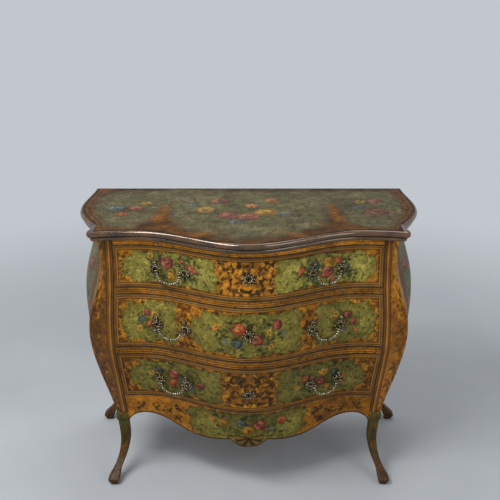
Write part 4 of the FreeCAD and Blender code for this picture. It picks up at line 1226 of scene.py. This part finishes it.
class CHEST_OT_top_paint(Operator):
    """Paint the green field, the flowers and the brown border of the top"""
    bl_idname = "chest.top_paint"
    bl_label = "Top painting"

    def execute(self, context):
        middle, right, left = patches = top_patches(sizes().top_step)
        together = np.vstack([patch.reshape(-1, 3) for patch in patches])
        rim = np.vstack([left[::-4, 0], middle[0, ::4], right[::4, -1]])[:, :2] / MM
        p = paint_top(together, rim)
        start = 0
        for name, patch in zip(("top_painting", "right_top_painting", "left_top_painting"), patches):
            count = patch.shape[0] * patch.shape[1]
            sheet(name, "carcass", patch, (0, 0, -0.001), p.rgb[start:start + count], "worn")
            start += count
        return {"FINISHED"}


def node_tree(name, inputs):
    """Geometry Nodes tree with a geometry and named inputs, and its input and output nodes."""
    tree = bpy.data.node_groups.new(name, "GeometryNodeTree")
    tree.interface.new_socket("Geometry", in_out="INPUT", socket_type="NodeSocketGeometry")
    tree.interface.new_socket("Geometry", in_out="OUTPUT", socket_type="NodeSocketGeometry")
    for label, kind in inputs:
        tree.interface.new_socket(label, in_out="INPUT", socket_type=kind)
    return tree, add_node(tree, "NodeGroupInput"), add_node(tree, "NodeGroupOutput")


def closed_tree(tree, start, end, instances):
    """Ends a tree: instances made real, smooth, with the material of the input."""
    real = add_node(tree, "GeometryNodeRealizeInstances", {"Geometry": instances})
    smooth = add_node(tree, "GeometryNodeSetShadeSmooth", {"Geometry": real})
    coat = add_node(tree, "GeometryNodeSetMaterial", {"Geometry": smooth,
                                                      "Material": start.outputs["Material"]})
    feed(tree, end, {"Geometry": coat})
    return tree


# Ball that petals, beads and reeds are stretched from
BALL = {"Segments": 8, "Rings": 5, "Radius": 1.0}


def ring_tree():
    """Petals or beads in a ring round every centre, square to the way the centre faces."""
    tree, start, end = node_tree("ring_of_petals", (
        ("Count", "NodeSocketInt"), ("Ring", "NodeSocketFloat"), ("Lift", "NodeSocketFloat"),
        ("Size", "NodeSocketVector"), ("Material", "NodeSocketMaterial")))
    circle = add_node(tree, "GeometryNodeMeshCircle", {"Vertices": start.outputs["Count"],
                                                       "Radius": start.outputs["Ring"]})
    spot = add_node(tree, "GeometryNodeInputPosition")
    turn = add_node(tree, "FunctionNodeAlignRotationToVector", {"Vector": spot}, axis="X")
    ball = add_node(tree, "GeometryNodeMeshUVSphere", BALL)
    ring = add_node(tree, "GeometryNodeInstanceOnPoints", {"Points": circle, "Instance": ball,
                                                           "Rotation": turn, "Scale": start.outputs["Size"]})
    rise = add_node(tree, "ShaderNodeCombineXYZ", {"Z": start.outputs["Lift"]})
    lifted = add_node(tree, "GeometryNodeTransform", {"Geometry": ring, "Translation": rise})
    facing = add_node(tree, "GeometryNodeInputNamedAttribute", {"Name": "facing"}, data_type="FLOAT_VECTOR")
    face = add_node(tree, "FunctionNodeAlignRotationToVector", {"Vector": facing}, axis="Z")
    whole = add_node(tree, "GeometryNodeInstanceOnPoints", {"Points": start.outputs["Geometry"],
                                                            "Instance": lifted, "Rotation": face})
    return closed_tree(tree, start, end, whole)


def string_tree():
    """Beads or reeds along a path, every other one smaller."""
    tree, start, end = node_tree("string_of_beads", (
        ("Count", "NodeSocketInt"), ("Size", "NodeSocketVector"), ("Smaller", "NodeSocketFloat"),
        ("Material", "NodeSocketMaterial")))
    path = add_node(tree, "GeometryNodeMeshToCurve", {"Mesh": start.outputs["Geometry"]})
    even = add_node(tree, "GeometryNodeResampleCurve", {"Curve": path, "Count": start.outputs["Count"]},
                    mode="COUNT")
    tangent = add_node(tree, "GeometryNodeInputTangent")
    turn = add_node(tree, "FunctionNodeAlignRotationToVector", {"Vector": tangent}, axis="X")
    index = add_node(tree, "GeometryNodeInputIndex")
    other = add_node(tree, "ShaderNodeMath", {0: index, 1: 2.0}, operation="MODULO")
    shrink = add_node(tree, "ShaderNodeMath", {0: other, 1: start.outputs["Smaller"]}, operation="MULTIPLY")
    scale = add_node(tree, "ShaderNodeMath", {0: 1.0, 1: shrink}, operation="SUBTRACT")
    size = add_node(tree, "ShaderNodeVectorMath", {0: start.outputs["Size"], "Scale": scale},
                    operation="SCALE")
    ball = add_node(tree, "GeometryNodeMeshUVSphere", BALL)
    whole = add_node(tree, "GeometryNodeInstanceOnPoints", {"Points": even, "Instance": ball,
                                                            "Rotation": turn, "Scale": size})
    return closed_tree(tree, start, end, whole)


TREES = {}


def grown(name, body, maker, verts, edges, facing, **values):
    """Piece that a Geometry Nodes tree makes from a few points or a path, turned into a plain mesh."""
    if maker not in TREES:
        TREES[maker] = maker()
    tree = TREES[maker]
    seed = bpy.data.meshes.new(name)
    seed.from_pydata([tuple(v) for v in verts], edges, [])
    if facing:
        layer = seed.attributes.new("facing", "FLOAT_VECTOR", "POINT")
        layer.data.foreach_set("vector", np.array([tuple(f) for f in facing]).ravel())
    piece = bpy.data.objects.new(name, seed)
    bpy.context.collection.objects.link(piece)
    modifier = piece.modifiers.new("growth", "NODES")
    modifier.node_group = tree
    keys = {item.name: item.identifier for item in tree.interface.items_tree if item.in_out == "INPUT"}
    for label, value in values.items():
        modifier[keys[label]] = value
    made = bpy.data.meshes.new_from_object(piece.evaluated_get(bpy.context.evaluated_depsgraph_get()))
    if not made.polygons:
        raise RuntimeError("nothing grew for " + name)
    piece.modifiers.remove(modifier)
    piece.data = made
    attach(piece, body)


def ringed(name, body, spots, ways, count, radius, lift, scale, kind):
    """Ring of petals or beads round each of some spots, square to the way that it faces, as one piece."""
    grown(name, body, ring_tree, spots, [], ways, Count=count, Ring=radius, Lift=lift, Size=scale,
          Material=finish(kind))


def surface_point(tree, x, z):
    """Point of a front and the way it faces."""
    return tree.ray_cast(Vector((x, -1, z)), Vector((0, 1, 0)))[:2]


# Path of a bail: share of the way from the middle to the shoulder, share of the drop
BAIL_SHARES = ((1.0, 0.0), (1.02, 0.26), (0.93, 0.55), (0.72, 0.80), (0.42, 0.93), (0.0, 1.0))
BAIL_SHOULDER, BAIL_DROP = 0.0376, 0.038
# Middle of a rosette, from the middle of the bail's axle along it and back to the front
ROSETTE_REACH, ROSETTE_BACK = 0.0490, 0.017
# Crest above and tail below the middle of a rosette, half side of the square that gives its lean
CREST_UP, TAIL_DOWN, LEAN_HALF = 0.023, 0.020, 0.011


class CHEST_OT_handles(Operator):
    """Petals and beads of the rosettes, beads along the bails"""
    bl_idname = "chest.handles"
    bl_label = "Handles"

    def execute(self, context):
        size = sizes()
        petals, ring, petal = size.rosette_petals, size.petal_ring, size.petal_length
        bead, bail_bead = size.bead_radius, size.bail_bead_radius
        joints = {joint["name"]: joint for joint in frame["joints"]}
        for drawer in DRAWERS:
            tree = caster(drawer + "_front")
            centres, facing, crests, tails = [], [], [], []
            for label in ("left", "right"):
                body = drawer.split("_")[0] + "_" + label + "_bail"
                joint = joints[body + "_swing"]
                middle, axis = Vector(joint["pos_m"]), Vector(joint["axis"]).normalized()
                half, other = ([middle + axis * (way * a * BAIL_SHOULDER) - Vector((0, 0, b * BAIL_DROP))
                                for a, b in BAIL_SHARES] for way in (1, -1))
                path = smooth_loop([tuple(v) for v in half + other[-2::-1]], closed=False)
                edges = [(k, k + 1) for k in range(len(path) - 1)]
                grown(body + "_beads", body, string_tree, path, edges, None, Count=size.bail_beads,
                      Size=(bail_bead * 0.72, bail_bead, bail_bead), Smaller=0.22, Material=finish("bright"))
                for end in (half[0], other[0]):
                    foot = middle + (end - middle).normalized() * ROSETTE_REACH
                    normals = [surface_point(tree, foot.x + dx, foot.z + dz)[1]
                               for dx in (-LEAN_HALF, LEAN_HALF) for dz in (-LEAN_HALF, LEAN_HALF)]
                    facing.append(sum(normals, Vector()).normalized())
                    centres.append(foot - axis.cross(Vector((0, 0, -1))) * ROSETTE_BACK)
                    crests.append(surface_point(tree, foot.x, foot.z + CREST_UP)[0])
                    tails.append(surface_point(tree, foot.x, foot.z - TAIL_DOWN)[0])
            # Rings of each rosette: name, centres, ways they face, count, radius, lift, half sizes, finish
            for part, *row in (
                    ("petals", centres, facing, petals, ring, 0.0030, (petal, petal * 0.56, 0.0026), "brass"),
                    ("beads", centres, facing, petals + 3, size.bead_ring, 0.0056, (bead,) * 3, "bright"),
                    ("tips", centres, facing, petals, ring * 1.28, 0.0046, (bead * 0.95,) * 3, "bright"),
                    ("crests", crests, facing, 6, ring * 0.5, 0.0018, (petal * 0.8, petal * 0.5, 0.0024),
                     "brass"),
                    ("buds", crests + tails, facing * 2, 5, ring * 0.3, 0.0026, (bead,) * 3, "bright")):
                ringed(drawer + "_rosette_" + part, drawer, *row)
        return {"FINISHED"}


# Rings round a keyhole: name, count, radius, lift, half sizes, finish
KEYHOLE_RINGS = (("petals", 10, 0.0140, 0.0026, (0.0062, 0.0036, 0.0024), "brass"),
                 ("beads", 12, 0.0112, 0.0042, (0.0019,) * 3, "bright"),
                 ("tips", 10, 0.0178, 0.0036, (0.0019,) * 3, "bright"))


class CHEST_OT_escutcheons(Operator):
    """Petals and beads round the keyholes"""
    bl_idname = "chest.escutcheons"
    bl_label = "Escutcheons"

    def execute(self, context):
        for drawer in DRAWERS:
            z = keyhole_height(drawer)
            tree = caster(drawer + "_front")
            above, below = (surface_point(tree, -0.012, z + dz)[0] for dz in (0.014, -0.014))
            lean = (above - below).normalized()
            facing = Vector((0, -lean.z, lean.y))
            centre = Vector((0, (above.y + below.y) / 2 - 0.0004, z))
            for part, *row in KEYHOLE_RINGS:
                ringed(drawer + "_escutcheon_" + part, drawer, [centre], [facing], *row)
        return {"FINISHED"}


# Carved shell: half width, height, height of its root above the floor, in metres
SHELL_HALF, SHELL_TALL, SHELL_ROOT = 0.050, 0.0365, 0.2085
# Collar of a leg: its height above the floor, half sizes of a reed, points of the ring that carries the reeds
COLLAR_HEIGHT, REED_SIZE, COLLAR_POINTS = 0.2225, (0.0034, 0.0022, 0.0150), 64
# Middle of the leg at its collar, from the middle of the chest
COLLAR_MIDDLES = (("front", 0.421), ("rear", 0.478))


class CHEST_OT_carving(Operator):
    """Carved shell on the drop of the apron and reeded collars at the tops of the legs"""
    bl_idname = "chest.carving"
    bl_label = "Carving"

    def execute(self, context):
        self.carve_shell()
        for end, reach in COLLAR_MIDDLES:
            for side, word in SIDES:
                self.carve_collar(word + "_" + end + "_leg", side * reach)
        return {"FINISHED"}

    def carve_shell(self):
        """Fluted fan that opens downwards, gilt on its ribs, with painted shade in its flutes and at its
        root.
        """
        front = front_probe("apron")
        gold, umber, olive = shade("gold"), shade("umber") * 0.6, shade("olive")
        points, rgb = [], []
        rows, columns = 19, 97
        for reach in np.linspace(0.0, 1.0, rows):
            crest = math.sin(math.pi * min(1, 0.18 + 0.82 * reach)) ** 0.6
            for turn in np.linspace(1.9, -1.9, columns):
                flute = abs(math.cos(turn * 4.0))
                size = reach * (1.0 - 0.08 * (1 - flute))
                x = SHELL_HALF * math.sin(turn) * size
                z = SHELL_ROOT - SHELL_TALL * math.cos(turn) * size
                lift = sizes().shell_relief * (0.35 + 0.65 * flute) * crest + 0.0008
                points.append((x, front(x, z) - lift, z))
                # Gilt on the ribs, painted shade of dark umber in the flutes and at the root
                warm = flute ** 2 * reach * (1.0 - 0.55 * reach ** 4)
                rgb.append(umber + (gold * 0.62 * (1 - 0.4 * reach) + olive * 0.3 * reach - umber) * warm)
        points = np.array(points).reshape(rows, columns, 3)
        sheet("apron_shell", "carcass", points, (0, 0.0015, 0), np.array(rgb))

    def carve_collar(self, leg, x):
        """Ring of upright reeds round the top of a leg."""
        tree = caster(leg)
        hits = [tree.ray_cast(Vector((x, way, COLLAR_HEIGHT)), Vector((0, -way, 0)))[0] for way in (-1, 1)]
        middle = Vector((x, (hits[0].y + hits[1].y) / 2, COLLAR_HEIGHT))
        ring = []
        for turn in np.arange(COLLAR_POINTS) * math.tau / COLLAR_POINTS:
            way = Vector((math.cos(turn), math.sin(turn), 0))
            ring.append(tree.ray_cast(middle + way * 0.2, -way)[0])
        edges = [(k, (k + 1) % COLLAR_POINTS) for k in range(COLLAR_POINTS)]
        grown(leg + "_collar", "carcass", string_tree, ring, edges, None, Count=sizes().collar_reeds,
              Size=REED_SIZE, Smaller=0.0, Material=finish("leg"))


# Pale backdrop that the floor fades into
BACKDROP = "#c2c7cd"
FLOOR_HALF = 25.0
# Lamps: name, place, width and height, watts, all aimed at one point
LAMPS = (("key", (-1.5, -1.9, 3.0), (1.8, 1.8), 25), ("fill", (2.4, -2.6, 2.2), (2.0, 2.0), 30),
         ("top", (0.2, 1.0, 3.2), (1.6, 1.6), 22), ("window", (-1.2, -1.05, 2.7), (1.6, 0.5), 44))
LAMP_AIM = Vector((0, 0, 0.45))
# Camera: place, degrees below level, focal length and sensor in millimetres
EYE, EYE_TILT, LENS, SENSOR = (0.0043, -2.579, 1.767), 21.0, 61.3, 36.0


def looking_rays(tree):
    """1 for rays that look at the backdrop, straight or in a reflection, 0 for rays that carry its light."""
    path = add_node(tree, "ShaderNodeLightPath").outputs
    seen = add_node(tree, "ShaderNodeMath", {0: path["Is Camera Ray"], 1: path["Is Glossy Ray"]},
                    use_clamp=True)
    return add_node(tree, "ShaderNodeMath", {0: seen, 1: path["Is Transmission Ray"]}, use_clamp=True)


def floor_plaster():
    """Trowelled plaster floor: pale grey, matt, faintly cloudy, lost in the backdrop further away."""
    material, tree, shader, place = new_material("pale_grey_floor")
    # Clouds about 400 mm across
    clouds = add_node(tree, "ShaderNodeTexNoise", {"Vector": place, "Scale": 1 / 0.4, "Detail": 4.0})
    ramp = add_node(tree, "ShaderNodeValToRGB", {"Fac": clouds}, stops=((0.3, "#b0b4b9"), (0.7, "#b8bcbf")))
    feed(tree, shader, {"Base Color": ramp, "Roughness": 0.7})
    # The floor fades into the backdrop from 1 to 3 m away
    away = add_node(tree, "ShaderNodeVectorMath", {0: place}, operation="LENGTH")
    fade = add_node(tree, "ShaderNodeMapRange", {"Value": away, "From Min": 1.0, "From Max": 3.0},
                    interpolation_type="SMOOTHSTEP")
    share = add_node(tree, "ShaderNodeMath", {0: fade, 1: looking_rays(tree)}, operation="MULTIPLY")
    glow = add_node(tree, "ShaderNodeEmission", {"Color": rgba(BACKDROP)})
    mixed = add_node(tree, "ShaderNodeMixShader", {0: share, 1: shader, 2: glow})
    feed(tree, tree.nodes["Material Output"], {"Surface": mixed})
    return material


class CHEST_OT_stage(Operator):
    """Floor, lights and camera"""
    bl_idname = "chest.stage"
    bl_label = "Stage"

    def execute(self, context):
        scene = context.scene
        scene.view_settings.view_transform = "Standard"
        mesh = bpy.data.meshes.new("floor")
        corners = [(x * FLOOR_HALF, y * FLOOR_HALF, 0) for x, y in ((-1, -1), (1, -1), (1, 1), (-1, 1))]
        mesh.from_pydata(corners, [], [(0, 1, 2, 3)])
        mesh.materials.append(floor_plaster())
        floor = bpy.data.objects.new("floor", mesh)
        context.collection.objects.link(floor)
        world = bpy.data.worlds.new("studio")
        world.use_nodes = True
        tree = world.node_tree
        daylight = tree.nodes["Background"]
        feed(tree, daylight, {"Color": rgba("#dfe3e8"), "Strength": 0.42})
        pale = add_node(tree, "ShaderNodeBackground", {"Color": rgba(BACKDROP)})
        mixed = add_node(tree, "ShaderNodeMixShader", {0: looking_rays(tree), 1: daylight, 2: pale})
        feed(tree, tree.nodes["World Output"], {"Surface": mixed})
        scene.world = world
        for name, spot, (wide, tall), watts in LAMPS:
            lamp = bpy.data.lights.new(name, "AREA")
            lamp.shape, lamp.energy, lamp.size, lamp.size_y = "RECTANGLE", watts, wide, tall
            lit = bpy.data.objects.new(name, lamp)
            lit.location = spot
            lit.rotation_euler = (LAMP_AIM - Vector(spot)).to_track_quat("-Z", "Y").to_euler()
            context.collection.objects.link(lit)
        camera = bpy.data.cameras.new("camera")
        camera.lens, camera.sensor_width = LENS, SENSOR
        eye = bpy.data.objects.new("camera", camera)
        eye.location = EYE
        eye.rotation_euler = (math.radians(90 - EYE_TILT), 0, 0)
        context.collection.objects.link(eye)
        scene.camera = eye
        return {"FINISHED"}


class CHEST_PT_panel(Panel):
    """Steps and settings of the chest"""
    bl_idname = "CHEST_PT_panel"
    bl_label = "Painted bombe chest"
    bl_space_type = "VIEW_3D"
    bl_region_type = "UI"
    bl_category = "Chest"

    def draw(self, context):
        for step in STEPS:
            self.layout.operator(step.bl_idname)
        for group in (context.scene.chest_sizes, context.scene.chest_colours):
            box = self.layout.box()
            for key in group.__annotations__:
                box.prop(group, key)


STEPS = (CHEST_OT_finishes, CHEST_OT_drawer_paint, CHEST_OT_rail_paint, CHEST_OT_apron_paint,
         CHEST_OT_stile_paint, CHEST_OT_side_paint, CHEST_OT_top_paint, CHEST_OT_handles,
         CHEST_OT_escutcheons, CHEST_OT_carving, CHEST_OT_stage)
CLASSES = (ChestSizes, ChestColours, *STEPS, CHEST_PT_panel)


def register():
    for cls in CLASSES:
        bpy.utils.register_class(cls)
    bpy.types.Scene.chest_sizes = PointerProperty(type=ChestSizes)
    bpy.types.Scene.chest_colours = PointerProperty(type=ChestColours)


def unregister():
    del bpy.types.Scene.chest_colours
    del bpy.types.Scene.chest_sizes
    for cls in reversed(CLASSES):
        bpy.utils.unregister_class(cls)


def main():
    register()
    for step in STEPS:
        group, name = step.bl_idname.split(".")
        getattr(getattr(bpy.ops, group), name)()


if __name__ == "__main__":
    main()
